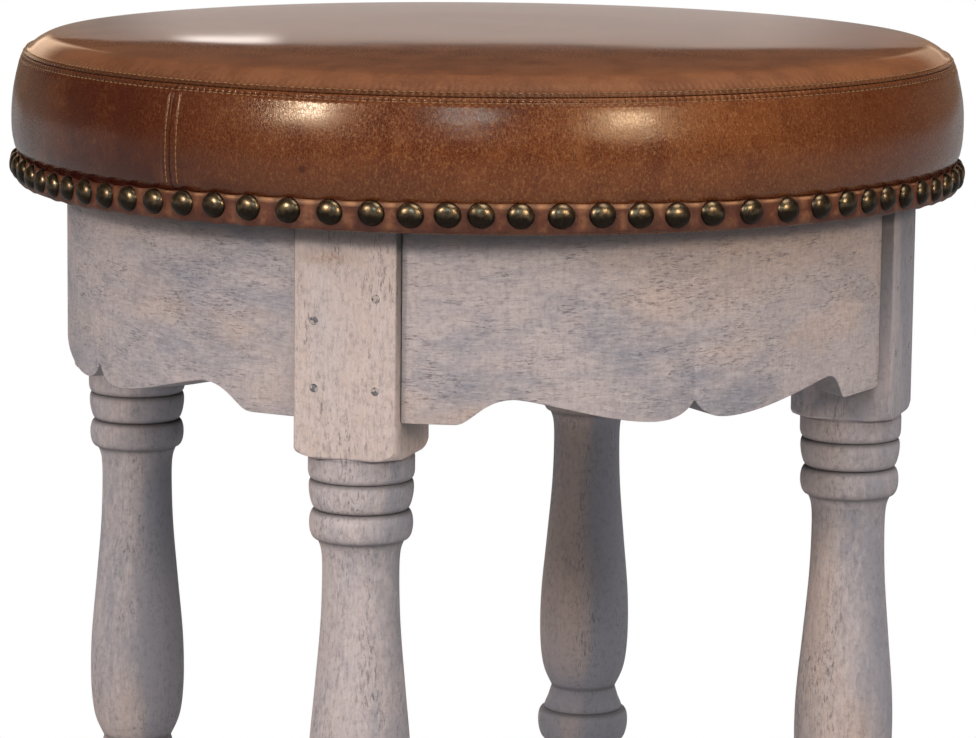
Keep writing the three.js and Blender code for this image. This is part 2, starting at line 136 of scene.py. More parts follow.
def turned(degrees: float) -> Matrix:
    """A turn about the upright axis."""
    return Matrix.Rotation(math.radians(degrees), 4, "Z")


class Outline:
    """A drawn line that is measured from its first point."""

    def __init__(self, points: Sequence[Point]) -> None:
        """Keeps the points and the length up to each of them."""
        self.points = [Vector(point) for point in points]
        self.lengths = [0.0]
        for a, b in zip(self.points, self.points[1:]):
            self.lengths.append(self.lengths[-1] + (b - a).length)

    @property
    def length(self) -> float:
        """Length of the whole line."""
        return self.lengths[-1]

    def at(self, distance: float) -> tuple[Vector, Vector]:
        """Finds a place on the line.

        Args:
            distance: How far along the line it is.

        Returns:
            The point, and the direction of the line there.
        """
        i = min(max(bisect.bisect(self.lengths, distance), 1), len(self.points) - 1)
        a, b = self.points[i - 1], self.points[i]
        share = (distance - self.lengths[i - 1]) / (b - a).length
        return a.lerp(b, share), (b - a).normalized()


# Modelling tools


class Bench:
    """Blender's own modelling tools, in the few combinations that a stool needs."""

    @staticmethod
    def clear() -> None:
        """Deselects everything."""
        bpy.ops.object.select_all(action="DESELECT")

    @staticmethod
    def hold(piece: Piece, *others: Piece) -> None:
        """Selects only these pieces and makes the first one active."""
        Bench.clear()
        for each in (piece, *others):
            each.select_set(True)
        bpy.context.view_layer.objects.active = piece

    @staticmethod
    def drop(piece: Piece) -> None:
        """Deletes a piece."""
        Bench.hold(piece)
        bpy.ops.object.delete()

    @staticmethod
    def edit(piece: Piece) -> None:
        """Opens a piece for editing with all of it selected."""
        Bench.hold(piece)
        bpy.ops.object.mode_set(mode="EDIT")
        bpy.ops.mesh.select_mode(type="VERT")
        bpy.ops.mesh.select_all(action="SELECT")

    @staticmethod
    def close() -> None:
        """Leaves edit mode."""
        bpy.ops.object.mode_set(mode="OBJECT")

    @staticmethod
    def call(piece: Piece, name: str) -> Piece:
        """Names a piece and its mesh."""
        piece.name = piece.data.name = name
        return piece

    @staticmethod
    def chain(name: str, points: Sequence[Vector]) -> Piece:
        """Pulls one corner along a line, leaving an edge behind at each step.

        Args:
            name: Name of the new piece.
            points: Where the corner stops, in millimetres.

        Returns:
            The piece, a line of edges.
        """
        Bench.clear()
        bpy.ops.mesh.primitive_plane_add(size=MM)
        piece = Bench.call(bpy.context.object, name)
        Bench.edit(piece)
        bpy.ops.mesh.merge(type="CENTER")
        bpy.ops.transform.translate(value=points[0] * MM)
        for a, b in zip(points, points[1:]):
            bpy.ops.mesh.extrude_region_move(TRANSFORM_OT_translate={"value": (b - a) * MM})
        Bench.close()
        return piece

    @staticmethod
    def lathe(name: str, line: Sequence[Point], steps: int, angle: float = 2 * math.pi) -> Piece:
        """Turns an outline about the upright axis.

        Args:
            name: Name of the new piece.
            line: Radius and height of each point, in millimetres.
            steps: How many sides the turning has.
            angle: How far it goes round.

        Returns:
            The turned piece, open at its ends if the angle is less than a turn.
        """
        piece = Bench.chain(name, [Vector((radius, 0, height)) for radius, height in line])
        Bench.edit(piece)
        bpy.ops.mesh.spin(steps=steps, angle=angle, center=(0, 0, 0), axis=(0, 0, 1))
        Bench.close()
        Bench.weld(piece)
        return piece

    @staticmethod
    def weld(piece: Piece) -> None:
        """Merges points that are one and turns all faces outwards."""
        Bench.edit(piece)
        bpy.ops.mesh.remove_doubles(threshold=WELD)
        bpy.ops.mesh.select_all(action="SELECT")
        bpy.ops.mesh.normals_make_consistent(inside=False)
        Bench.close()

    @staticmethod
    def sort(piece: Piece) -> None:
        """Puts edges and faces in an order of their own; spinning leaves it to chance."""
        cursor = bpy.context.scene.cursor
        cursor.location = SORTED_FROM
        Bench.edit(piece)
        bpy.ops.mesh.sort_elements(type="CURSOR_DISTANCE", elements={"EDGE", "FACE"})
        Bench.close()
        cursor.location = (0.0, 0.0, 0.0)

    @staticmethod
    def cap(piece: Piece) -> None:
        """Closes each open end of a piece with a face."""
        Bench.edit(piece)
        bpy.ops.mesh.select_all(action="DESELECT")
        bpy.ops.mesh.select_non_manifold(extend=False)
        bpy.ops.mesh.edge_face_add()
        bpy.ops.mesh.select_all(action="SELECT")
        bpy.ops.mesh.normals_make_consistent(inside=False)
        Bench.close()

    @staticmethod
    def bar(name: str, radius: float, line: tuple[Vector, Vector], sides: int) -> Piece:
        """Makes a plain round bar, used as a cutter or as the start of a piece.

        Args:
            name: Name of the new piece.
            radius: Its radius in millimetres.
            line: Its two ends, in millimetres.
            sides: How many sides it has.

        Returns:
            The bar.
        """
        start, end = line
        Bench.clear()
        bpy.ops.mesh.primitive_cylinder_add(
            vertices=sides, radius=radius * MM, depth=(end - start).length * MM,
            location=(start + end) / 2 * MM,
            rotation=(end - start).to_track_quat("Z", "Y").to_euler())
        piece = Bench.call(bpy.context.object, name)
        Bench.settle(piece)
        return piece

    @staticmethod
    def block(name: str, low: Vector, high: Vector) -> Piece:
        """Makes a box between two corners given in millimetres."""
        Bench.clear()
        bpy.ops.mesh.primitive_cube_add(size=1, location=(low + high) / 2 * MM)
        piece = Bench.call(bpy.context.object, name)
        piece.scale = (high - low) * MM
        Bench.settle(piece)
        return piece

    @staticmethod
    def settle(piece: Piece) -> None:
        """Applies a piece's place, turn and size to its mesh."""
        Bench.hold(piece)
        bpy.ops.object.transform_apply(location=True, rotation=True, scale=True)

    @staticmethod
    def modify(piece: Piece, kind: str, **settings: Any) -> None:
        """Adds a modifier with these settings and applies it."""
        Bench.hold(piece)
        bpy.ops.object.modifier_add(type=kind)
        modifier = piece.modifiers[-1]
        for name, setting in settings.items():
            setattr(modifier, name, setting)
        bpy.ops.object.modifier_apply(modifier=modifier.name)

    @staticmethod
    def shape(piece: Piece, tool: Piece, operation: str) -> None:
        """Cuts, joins or trims a piece with a tool, which is used up."""
        Bench.modify(piece, "BOOLEAN", object=tool, operation=operation, solver="EXACT")
        Bench.drop(tool)

    @staticmethod
    def copy(piece: Piece, name: str, turn: Optional[Matrix] = None) -> Piece:
        """Copies a piece with a mesh of its own.

        Args:
            piece: The piece to copy.
            name: Name of the copy.
            turn: Where the copy goes, from where the piece is.

        Returns:
            The copy, with its place in its mesh.
        """
        Bench.hold(piece)
        bpy.ops.object.duplicate(linked=False)
        twin = Bench.call(bpy.context.object, name)
        if turn is not None:
            twin.matrix_world = turn
            Bench.settle(twin)
        return twin

    @staticmethod
    def scatter(piece: Piece, name: str, places: Sequence[Matrix]) -> Piece:
        """Sets copies of a small piece at many places and joins them into one.

        Args:
            piece: The piece to copy, which is used up.
            name: Name of the joined piece.
            places: Place and turn of each copy.

        Returns:
            The joined piece.
        """
        twins = []
        for place in places:
            Bench.hold(piece)
            bpy.ops.object.duplicate(linked=False)
            twins.append(bpy.context.object)
            twins[-1].matrix_world = place
        Bench.drop(piece)
        Bench.hold(*twins)
        bpy.ops.object.join()
        joined = Bench.call(bpy.context.object, name)
        Bench.settle(joined)
        return joined

    @staticmethod
    def join(piece: Piece, *others: Piece) -> Piece:
        """Joins other pieces to the first."""
        Bench.hold(piece, *others)
        bpy.ops.object.join()
        return piece

    @staticmethod
    def ring(piece: Piece, count: int) -> None:
        """Repeats a piece in an even ring about the upright axis."""
        Bench.clear()
        bpy.ops.object.empty_add(rotation=(0, 0, 2 * math.pi / count))
        guide = bpy.context.object
        Bench.modify(piece, "ARRAY", count=count, use_relative_offset=False,
                     use_object_offset=True, offset_object=guide)
        Bench.drop(guide)

    @staticmethod
    def reshape(piece: Piece, move: Callable[[Vector], Vector]) -> None:
        """Moves each point of a mesh; the rule gets and gives millimetres."""
        for vertex in piece.data.vertices:
            vertex.co = move(vertex.co / MM) * MM
        piece.data.update()

    @staticmethod
    def mark(piece: Piece, name: str, measure: Callable[[Vector], Vector]) -> None:
        """Stores a vector at each point for the finish; the rule gets millimetres."""
        layer = piece.data.attributes.new(name, "FLOAT_VECTOR", "POINT")
        for vertex, entry in zip(piece.data.vertices, layer.data):
            entry.vector = measure(vertex.co / MM)

    @staticmethod
    def smooth(piece: Piece, degrees: float = 40.0) -> None:
        """Shades a piece smooth apart from edges sharper than this angle."""
        Bench.hold(piece)
        bpy.ops.object.shade_smooth_by_angle(angle=math.radians(degrees))


def coat(piece: Piece, material: bpy.types.Material) -> None:
    """Gives a piece this material alone."""
    piece.data.materials.clear()
    piece.data.materials.append(material)


def dress(piece: Piece, material: bpy.types.Material, slot: Optional[str] = None,
          nodes: Sequence[str] = ()) -> Piece:
    """Gives a finished piece its material and its place in the object.

    Args:
        piece: The finished piece.
        material: Its finish.
        slot: Not used.
        nodes: The CAD nodes that it stands for.

    Returns:
        The same piece.
    """
    coat(piece, material)
    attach(piece, ROOT)
    if nodes:
        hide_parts(*nodes)
    log.info("%s: %d faces, stands for %s", piece.name, len(piece.data.polygons),
             ", ".join(nodes) or "no CAD node")
    return piece


# Shader tools


def operator(operation: str, swapped: bool = False) -> Callable[["Value", "Link"], "Value"]:
    """Makes the Python operator for one operation of the Math node.

    Args:
        operation: The operation.
        swapped: Whether the wrapped value comes second.

    Returns:
        The operator's method.
    """
    def method(self: "Value", other: "Link") -> "Value":
        first, second = (other, self) if swapped else (self, other)
        return self.sum(operation, first, second)

    return method


class Value:
    """A shader socket; sums with it are written as Python expressions."""

    def __init__(self, board: "Board", socket: Optional[bpy.types.NodeSocket]) -> None:
        """Wraps a socket of a board's node tree."""
        self.board = board
        self.socket = socket

    def sum(self, operation: str, first: "Link", second: "Link") -> "Value":
        """Adds a Math node for one operation."""
        return self.board.node("ShaderNodeMath", {"operation": operation},
                               {0: first, 1: second})

    __add__, __radd__ = operator("ADD"), operator("ADD", True)
    __sub__, __rsub__ = operator("SUBTRACT"), operator("SUBTRACT", True)
    __mul__, __rmul__ = operator("MULTIPLY"), operator("MULTIPLY", True)

    def sine(self) -> "Value":
        """Sine of this value."""
        return self.sum("SINE", self, 0.0)

    def root(self) -> "Value":
        """Square root of this value."""
        return self.sum("SQRT", self, 0.0)

    def size(self) -> "Value":
        """This value without its sign."""
        return self.sum("ABSOLUTE", self, 0.0)

    def ease(self, low: float, high: float) -> "Value":
        """Rises smoothly from 0 where this value is low to 1 where it is high."""
        return self.board.node("ShaderNodeMapRange", {"interpolation_type": "SMOOTHSTEP"},
                               {"Value": self, "From Min": low, "From Max": high})


Link = Union[Value, float, Sequence[float]]


class Board:
    """The node tree of one finish, and the nodes that finishes are made of."""

    def __init__(self, tree: bpy.types.NodeTree) -> None:
        """Takes over a node tree and empties it."""
        self.tree = tree
        tree.nodes.clear()

    @staticmethod
    def material(name: str) -> tuple[bpy.types.Material, "Board"]:
        """Makes a material and the board of its nodes."""
        material = bpy.data.materials.new(name)
        material.use_nodes = True
        return material, Board(material.node_tree)

    def node(self, kind: str, settings: Optional[dict[str, Any]] = None,
             inputs: Optional[dict[Union[int, str], Link]] = None, output: int = 0) -> Value:
        """Adds a node.

        Args:
            kind: The node's type.
            settings: Its properties; "stops" sets a ramp's places and colours.
            inputs: A value or a link for each socket that isn't left alone.
            output: Which of its outputs is wanted.

        Returns:
            The output.
        """
        made = self.tree.nodes.new(kind)
        for name, setting in (settings or {}).items():
            if name == "stops":
                elements = made.color_ramp.elements
                while len(elements) < len(setting):
                    elements.new(0.5)
                for element, (place, colour) in zip(elements, setting):
                    element.position, element.color = place, (*colour, 1.0)
            else:
                setattr(made, name, setting)
        for name, link in (inputs or {}).items():
            if isinstance(link, Value):
                self.tree.links.new(link.socket, made.inputs[name])
            else:
                made.inputs[name].default_value = link
        return Value(self, made.outputs[output] if made.outputs else None)

    def place(self) -> Value:
        """Place on the piece, in metres."""
        return self.node("ShaderNodeTexCoord", output=3)

    def stored(self, name: str) -> Value:
        """A vector stored at the piece's points."""
        return self.node("ShaderNodeAttribute", {"attribute_name": name}, output=1)

    def stretch(self, place: Value, size: Sequence[float], shift: Sequence[float] = (0, 0, 0)
                ) -> Value:
        """Stretches and shifts a place before a pattern reads it."""
        return self.node("ShaderNodeMapping", inputs={
            "Vector": place, "Scale": size, "Location": shift})

    def split(self, vector: Value) -> tuple[Value, Value, Value]:
        """The three parts of a vector."""
        made = self.tree.nodes.new("ShaderNodeSeparateXYZ")
        self.tree.links.new(vector.socket, made.inputs[0])
        across, deep, up = (Value(self, output) for output in made.outputs)
        return across, deep, up

    def cloud(self, place: Value, scale: float, detail: float = 4.0, rough: float = 0.55,
              distortion: float = 0.0) -> Value:
        """Noise from about 0.3 to 0.7, at a number of clouds per metre."""
        return self.node("ShaderNodeTexNoise", inputs={
            "Vector": place, "Scale": scale, "Detail": detail, "Roughness": rough,
            "Distortion": distortion})

    def cells(self, place: Value, scale: float) -> Value:
        """Distance to the nearest border of a network of cells."""
        return self.node("ShaderNodeTexVoronoi", {"feature": "DISTANCE_TO_EDGE"},
                         {"Vector": place, "Scale": scale})

    def vectors(self, operation: str, first: Link, second: Link = (0.0, 0.0, 0.0),
                output: int = 0) -> Value:
        """Adds a Vector Math node; its output 1 is a number, if that is what it gives."""
        return self.node("ShaderNodeVectorMath", {"operation": operation},
                         {0: first, 1: second}, output)

    def rays(self) -> tuple[Value, Value, Value]:
        """For a camera ray, a glossy ray and one that goes through: 1 if it is, or 0."""
        path = self.tree.nodes.new("ShaderNodeLightPath")
        seen, glossy, through = (Value(self, path.outputs[f"Is {kind} Ray"])
                                 for kind in ("Camera", "Glossy", "Transmission"))
        return seen, glossy, through

    def shaken(self, place: Value, scale: float, amount: float) -> Value:
        """A place moved about by noise, so that a pattern gets uneven."""
        clouds = self.node("ShaderNodeTexNoise", inputs={
            "Vector": place, "Scale": scale, "Detail": 2.0}, output=1)
        centred = self.vectors("SUBTRACT", clouds, (0.5, 0.5, 0.5))
        scaled = self.node("ShaderNodeVectorMath", {"operation": "SCALE"},
                           {0: centred, "Scale": amount})
        return self.vectors("ADD", place, scaled)

    def ramp(self, value: Value, stops: Sequence[tuple[float, Colour]]) -> Value:
        """Turns a value into a colour."""
        return self.node("ShaderNodeValToRGB", {"stops": stops}, {0: value})

    def mix(self, share: Link, first: Link, second: Link) -> Value:
        """Mixes two colours; the second counts for the share."""
        def ink(colour: Link) -> Link:
            return colour if isinstance(colour, Value) else (*colour, 1.0)

        return self.node("ShaderNodeMix", {"data_type": "RGBA"},
                         {0: share, 6: ink(first), 7: ink(second)}, output=2)

    def bump(self, height: Value, depth: float, strength: float = 1.0,
             below: Optional[Value] = None) -> Value:
        """Relief of a height from 0 to 1, depth metres deep, on top of another relief."""
        inputs: dict[Union[int, str], Link] = {
            "Height": height, "Distance": depth, "Strength": strength}
        if below is not None:
            inputs["Normal"] = below
        return self.node("ShaderNodeBump", inputs=inputs)

    def finish(self, inputs: dict[str, Link]) -> None:
        """Ends a material in one surface shader with these sockets."""
        surface = self.node("ShaderNodeBsdfPrincipled", inputs={
            name: (*link, 1.0) if name == "Base Color" and not isinstance(link, Value) else link
            for name, link in inputs.items()})
        self.node("ShaderNodeOutputMaterial", inputs={"Surface": surface})


# Finishes


class Finish:
    """What the finishes share: a material of their own that ends in one surface shader."""

    name: str

    def make(self) -> bpy.types.Material:
        """Builds the material."""
        material, board = Board.material(self.name)
        board.finish(self.paint(board, board.place()))
        return material

    def paint(self, board: Board, place: Value) -> dict[str, Link]:
        """Draws the finish.

        Args:
            board: The material's node tree.
            place: Place on the piece, in metres.

        Returns:
            The sockets of the surface shader.
        """
        raise NotImplementedError


@dataclass(frozen=True)
class Hide(Finish):
    """Waxed cognac leather, finely mottled, drawn together and pierced at its stitches, with
    painted shade at its sides, its foot and its needle holes, and painted light on the seam's lip
    and the top panel's right.
    """

    name: str = "seat_hide"
    deep: Colour = (0.042, 0.0075, 0.0045)
    body: Colour = (0.103, 0.0245, 0.0085)
    warm: Colour = (0.155, 0.0450, 0.0140)
    gold: Colour = (0.36, 0.165, 0.062)
    amber: Colour = (0.44, 0.148, 0.048)
    pierced: Colour = (0.034, 0.009, 0.005)
    crackle: float = 800.0
    seam_height: float = 483.4
    side_row: float = 480.8
    top_row: float = 239.9
    stitches: int = 411
    blemish: tuple[float, float, float] = (-0.1841, -0.1652, 0.4472)

    def paint(self, board: Board, place: Value) -> dict[str, Link]:
        """Draws the finish."""
        x, y, z = board.split(place)
        radius = (x * x + y * y).root()
        flat = radius.ease(0.222, 0.234)
        broad = board.cloud(place, 9.0, 4.0, 0.55, 0.3)
        middle = board.cloud(place, 48.0, 6.0, 0.62, 0.5)
        drawn = board.stretch(place, (1, 1, 0.6))
        fleck = board.cloud(drawn, 820.0, 5.0, 0.75)
        speck = board.cloud(board.stretch(drawn, (1, 1, 1), (4, 2, 1)), 560.0, 5.0, 0.75)
        edge = board.cells(board.shaken(drawn, 300.0, 0.0018), self.crackle)
        line = 1 - edge.ease(0.02, 0.16)
        colour = board.ramp(broad * 0.5 + middle * 0.5, [
            (0.36, tuple(0.5 * (b + d) for b, d in zip(self.body, self.deep))),
            (0.46, self.body), (0.60, self.warm)])
        colour = board.mix(fleck.ease(0.48, 0.64) * 0.38, colour, self.gold)
        colour = board.mix(speck.ease(0.50, 0.64) * 0.46, colour, self.deep)
        colour = board.mix(line * speck.ease(0.35, 0.60) * 0.08, colour, self.gold)
        across = x * 0.886 - y * 0.463
        drop = z - self.seam_height * MM
        upper = drop.ease(0.0, 0.003)
        # Painted shade: darker towards the left and right as seen from the front and along the
        # boxing's foot, broken up by the hide's mottling.
        dark = (0.0 - across).ease(0.06, 0.20) * 0.74 + across.ease(0.11, 0.22) * 0.40
        foot = (0.462 - z).ease(0.0, 0.034)
        dark = dark * (1 - upper) + foot * ((0.02 - across).ease(0.0, 0.12) * 0.30 + 0.14)
        dark = dark * (middle.ease(0.30, 0.60) * 0.6 + 0.55)
        colour = board.mix(dark, colour, self.deep)
        # The top panel in a warmer amber, its own tone; the extra amber towards its right as seen
        # from the front is painted light.
        colour = board.mix(upper * (middle.ease(0.36, 0.64) * 0.14 + 0.26 + across.ease(
            0.10, 0.22) * 0.12), colour, self.amber)
        mark = board.vectors("DISTANCE", place, self.blemish, 1)
        colour = board.mix((1 - mark.ease(0.0011, 0.0024)) * 0.8, colour, self.deep)
        angle = board.node("ShaderNodeMath", {"operation": "ARCTAN2"}, {0: y, 1: x})
        turn = angle * float(self.stitches)
        beside = 1 - drop.size().ease(0.0014, 0.0062)
        between = (turn + 1.5 * math.pi).sine() * 0.5 + 0.5
        comb = between.ease(0.70, 0.95)
        side = 1 - (z - self.side_row * MM).size().ease(0.0003, 0.0009)
        top = (1 - (radius - self.top_row * MM).size().ease(0.0003, 0.0009)) * drop.ease(
            0.0, 0.0006)
        hole = comb * (side + top * 0.6)
        # Painted highlight: a golden line along the seam's rolled lip.
        painted_lip_highlight = 1 - drop.size().ease(0.0009, 0.0021)
        colour = board.mix(painted_lip_highlight * 0.07, colour, self.gold)
        # Painted shade in the needle holes beside the stitches, which the mesh doesn't cut.
        colour = board.mix(hole * 0.6, colour, self.pierced)
        grain = board.cloud(place, 1700.0, 2.0, 0.6)
        relief = (edge.ease(0.0, 0.2) * 0.16 + grain * 0.4 + fleck * 0.6) * (
            flat * 0.85 + 0.15)
        normal = board.bump(relief, 0.00009, 0.6)
        normal = board.bump((1 - between) * beside - hole * 0.8, 0.0004, 0.8, normal)
        rough = line * 0.14 + middle.ease(0.35, 0.7) * 0.05 + 0.15 + upper * 0.22
        return {"Base Color": colour, "Roughness": rough, "Normal": normal, "IOR": 1.5,
                "Coat Weight": upper * 0.85 + 0.05 - hole * 0.05,
                "Coat Roughness": 0.05, "Coat IOR": 1.45,
                "Specular Tint": (1.0, 0.86, 0.66, 1.0)}


@dataclass(frozen=True)
class Trim(Finish):
    """Dark waxed leather of the nailed strip."""

    name: str = "strip_hide"
    body: Colour = (0.105, 0.029, 0.013)
    worn: Colour = (0.36, 0.165, 0.075)
    deep: Colour = (0.052, 0.016, 0.010)

    def paint(self, board: Board, place: Value) -> dict[str, Link]:
        """Draws the finish, with a painted highlight along the folded top edge and painted shade
        round each nail and along the lower edge, as the stored relief gives them.
        """
        relief = board.split(board.stored("relief"))
        clouds = board.cloud(place, 120.0, 6.0, 0.65)
        grain = board.cloud(place, 1400.0, 3.0, 0.6)
        colour = board.ramp(clouds, [(0.32, self.deep), (0.48, self.body), (0.95, self.worn)])
        # Painted highlight along the folded top edge.
        colour = board.mix(relief[0], colour, self.worn)
        # Painted shade round the nail heads and along the lower edge.
        colour = board.mix(relief[1] * 0.7, colour, self.deep)
        normal = board.bump(grain * 0.6 + clouds * 0.4, 0.0004, 0.8)
        return {"Base Color": colour, "Roughness": 0.34 + clouds * 0.2,
                "Normal": normal, "IOR": 1.4}


@dataclass(frozen=True)
class Thread(Finish):
    """Waxed golden sewing thread, twisted."""

    name: str = "sewing_thread"
    body: Colour = (0.48, 0.26, 0.095)
    dark: Colour = (0.20, 0.085, 0.030)

    def paint(self, board: Board, place: Value) -> dict[str, Link]:
        """Draws the finish."""
        twist = board.node("ShaderNodeTexWave", {"bands_direction": "DIAGONAL"}, {
            "Vector": place, "Scale": 620.0, "Distortion": 0.6})
        clouds = board.cloud(place, 90.0, 3.0)
        colour = board.mix(twist * 0.6, self.dark, self.body)
        colour = board.mix(clouds.ease(0.35, 0.6), board.mix(0.5, colour, self.dark), colour)
        return {"Base Color": colour, "Roughness": 0.42,
                "Normal": board.bump(twist, 0.0002, 0.8)}


@dataclass(frozen=True)
class AntiqueBrass(Finish):
    """Gilt brass, its lower half darkened by patina and by a painted dark reflection, with dark
    patina round the rim.
    """

    name: str = "antique_brass"
    bright: Colour = (0.37, 0.275, 0.165)
    tarnish: Colour = (0.155, 0.112, 0.072)
    black: Colour = (0.020, 0.015, 0.012)

    def paint(self, board: Board, place: Value) -> dict[str, Link]:
        """Draws the finish; the stored nail place is in shares of its radius."""
        _, out, up = board.split(board.stored("nail"))
        clouds = board.cloud(place, 420.0, 4.0, 0.6)
        specks = board.cloud(place, 1500.0, 3.0, 0.6)
        # Darker over the lower half: patina, and a painted dark reflection.
        patina_and_painted_reflection = 1 - (up + (clouds - 0.5) * 0.30).ease(-0.25, 0.50)
        rim = 1 - out.ease(0.05, 0.5)
        colour = board.mix(clouds.ease(0.3, 0.7), self.tarnish, self.bright)
        colour = board.mix(patina_and_painted_reflection * 0.95, colour, self.black)
        colour = board.mix(rim * 0.85, colour, self.black)
        colour = board.mix(specks.ease(0.6, 0.72) * 0.4, colour, self.tarnish)
        rough = 0.29 + patina_and_painted_reflection * 0.12 + specks * 0.06
        normal = board.bump(clouds * 0.5 + specks * 0.5, 0.00006, 0.3)
        return {"Base Color": colour, "Roughness": rough, "Metallic": 1.0,
                "Normal": normal}


class Grain(Enum):
    """Which way the wood's grain runs, as the stretch of its pattern."""

    LEVEL = ((1.0, 1.0, 6.0), (1.0, 1.0, 2.4))
    UPRIGHT = ((3.6, 3.6, 0.9), (1.7, 1.7, 0.5))


@dataclass(frozen=True)
class LimedWood(Finish):
    """Whitewashed wood: a pinkish wash over grey, brushed thin, with dark open pores."""

    grain: Grain
    wash: Colour = (0.445, 0.380, 0.382)
    cool: Colour = (0.258, 0.252, 0.292)
    warm: Colour = (0.535, 0.385, 0.310)
    pale: Colour = (0.625, 0.555, 0.560)
    pore: Colour = (0.085, 0.078, 0.088)
    # Bare wood; also the colour of the painted shade under the rim, inside the frame and on the
    # legs' shaded sides.
    bare: Colour = (0.105, 0.096, 0.102)
    rust: Colour = (0.30, 0.175, 0.115)
    scuff: tuple[float, float, float] = (-0.1643, -0.1519, 0.4030)

    @property
    def name(self) -> str:
        """Name of the material, one for each run of the grain."""
        return f"limed_wood_{self.grain.name.lower()}"

    def paint(self, board: Board, place: Value) -> dict[str, Link]:
        """Draws the finish.

        The stored "grain" is the place along, into and up the wood, and the other stored vector
        holds darkening (bare wood, darker turned grooves, and painted shade inside the frame, on
        the blocks' sides and on one side of the legs), then lightness and warmth, which on the
        legs are painted light and shade.

        Args:
            board: The material's node tree.
            place: Place on the piece, in metres.

        Returns:
            The sockets of the surface shader.
        """
        wood = board.stored("grain")
        dirt, light, warmth = board.split(board.stored("wear"))
        fine, soft = self.grain.value
        along = board.stretch(wood, fine)
        slow = board.stretch(wood, soft, (3, 1, 2))
        broad = board.cloud(slow, 7.0, 3.0, 0.5)
        patch = board.cloud(slow, 16.0, 6.0, 0.66, 0.5)
        brush = board.cloud(along, 120.0, 7.0, 0.75)
        dash = board.cloud(board.stretch(along, (1, 1, 1), (7, 5, 3)), 230.0, 5.0, 0.8)
        where = board.cloud(slow, 34.0, 4.0, 0.6, 0.4)
        weave = board.cloud(board.stretch(wood, (1.0, 1.0, 0.14)), 700.0, 4.0, 0.75)
        mottle = board.cloud(wood, 320.0, 4.0, 0.7)
        # The stored lightness and warmth carry painted light and shade on the legs.
        colour = board.mix((patch + light * 0.3).ease(0.30, 0.60), self.cool, self.wash)
        colour = board.mix((broad + warmth * 0.14).ease(0.50, 0.66) * 0.60, colour, self.warm)
        colour = board.mix(brush.ease(0.42, 0.66) * 0.36 + light * 0.5, colour, self.pale)
        thin = where.ease(0.46, 0.64) * 0.8 + 0.2
        colour = board.mix(dash.ease(0.51, 0.63) * thin * 0.74, colour, self.pore)
        colour = board.mix(weave.ease(0.46, 0.64) * 0.24, colour, self.cool)
        colour = board.mix((1 - mottle.ease(0.36, 0.52)) * 0.20, colour, self.pore)
        away = board.stretch(board.vectors("SUBTRACT", place, self.scuff), (1, 1, 3.6))
        scuff = board.vectors("LENGTH", away, output=1)
        worn = (1 - scuff.ease(0.002, 0.022)) * (mottle * 0.5 + brush * 0.5).ease(0.44, 0.56)
        colour = board.mix(worn * 0.75, colour, self.rust)
        # Painted shadow of the seat's rim across the top of the aprons and blocks.
        painted_rim_shadow = board.split(place)[2].ease(0.4045, 0.4155)
        # Bare wood and painted shade, from the stored darkening and the rim's painted shadow.
        colour = board.mix((dirt + painted_rim_shadow * 0.95) * (brush * 0.5 + 0.6), colour, self.bare)
        relief = brush * 0.4 + (1 - dash.ease(0.54, 0.68)) * 0.35 + mottle * 0.35
        normal = board.bump(relief, 0.00030, 0.8)
        return {"Base Color": colour, "Roughness": 0.64 + brush * 0.2,
                "Normal": normal}


@dataclass(frozen=True)
class PlainWood(Finish):
    """Unpainted wood of a part that isn't seen in use."""

    name: str
    pale: Colour
    dark: Colour
    stretch: tuple[float, float, float]
    plies: float = 0.0

    def paint(self, board: Board, place: Value) -> dict[str, Link]:
        """Draws the finish, with level plies of this thickness if it has any."""
        along = board.stretch(place, self.stretch)
        rings = board.cloud(along, 26.0, 4.0, 0.6, 0.8)
        fibre = board.cloud(along, 190.0, 4.0, 0.7)
        share = rings.ease(0.38, 0.64) * 0.6 + fibre * 0.35
        colour = board.mix(share, self.pale, self.dark)
        height = fibre
        if self.plies:
            up = board.split(place)[2]
            ply = (up * (math.pi / self.plies)).sine()
            colour = board.mix(ply.ease(-0.15, 0.15) * 0.45, colour, self.dark)
            height = fibre * 0.7 + ply * 0.15
        return {"Base Color": colour, "Roughness": 0.68 + fibre * 0.15,
                "Normal": board.bump(height, 0.0003, 0.8)}


@dataclass(frozen=True)
class PegWood(Finish):
    """End grain of the joint pins, stained blue-grey."""

    name: str = "peg_wood"
    pale: Colour = (0.150, 0.150, 0.180)
    dark: Colour = (0.060, 0.058, 0.070)
    wash: Colour = (0.440, 0.375, 0.345)

    def paint(self, board: Board, place: Value) -> dict[str, Link]:
        """Draws the finish."""
        pores = board.cloud(place, 1300.0, 4.0, 0.7)
        colour = board.mix(pores.ease(0.42, 0.66), self.pale, self.dark)
        wash = board.cloud(place, 430.0, 3.0, 0.6)
        colour = board.mix(wash.ease(0.46, 0.54) * 0.92, colour, self.wash)
        return {"Base Color": colour, "Roughness": 0.7 + pores * 0.1,
                "Normal": board.bump(pores, 0.0003, 0.7)}


@dataclass(frozen=True)
class Metal(Finish):
    """Plated steel of the screws."""

    name: str = "plated_steel"
    bright: Colour = (0.60, 0.60, 0.62)
    dull: Colour = (0.32, 0.32, 0.34)

    def paint(self, board: Board, place: Value) -> dict[str, Link]:
        """Draws the finish."""
        clouds = board.cloud(place, 500.0, 4.0, 0.6)
        colour = board.mix(clouds.ease(0.4, 0.65), self.bright, self.dull)
        return {"Base Color": colour, "Roughness": 0.26 + clouds * 0.2,
                "Metallic": 1.0, "Normal": board.bump(clouds, 0.0001, 0.5)}


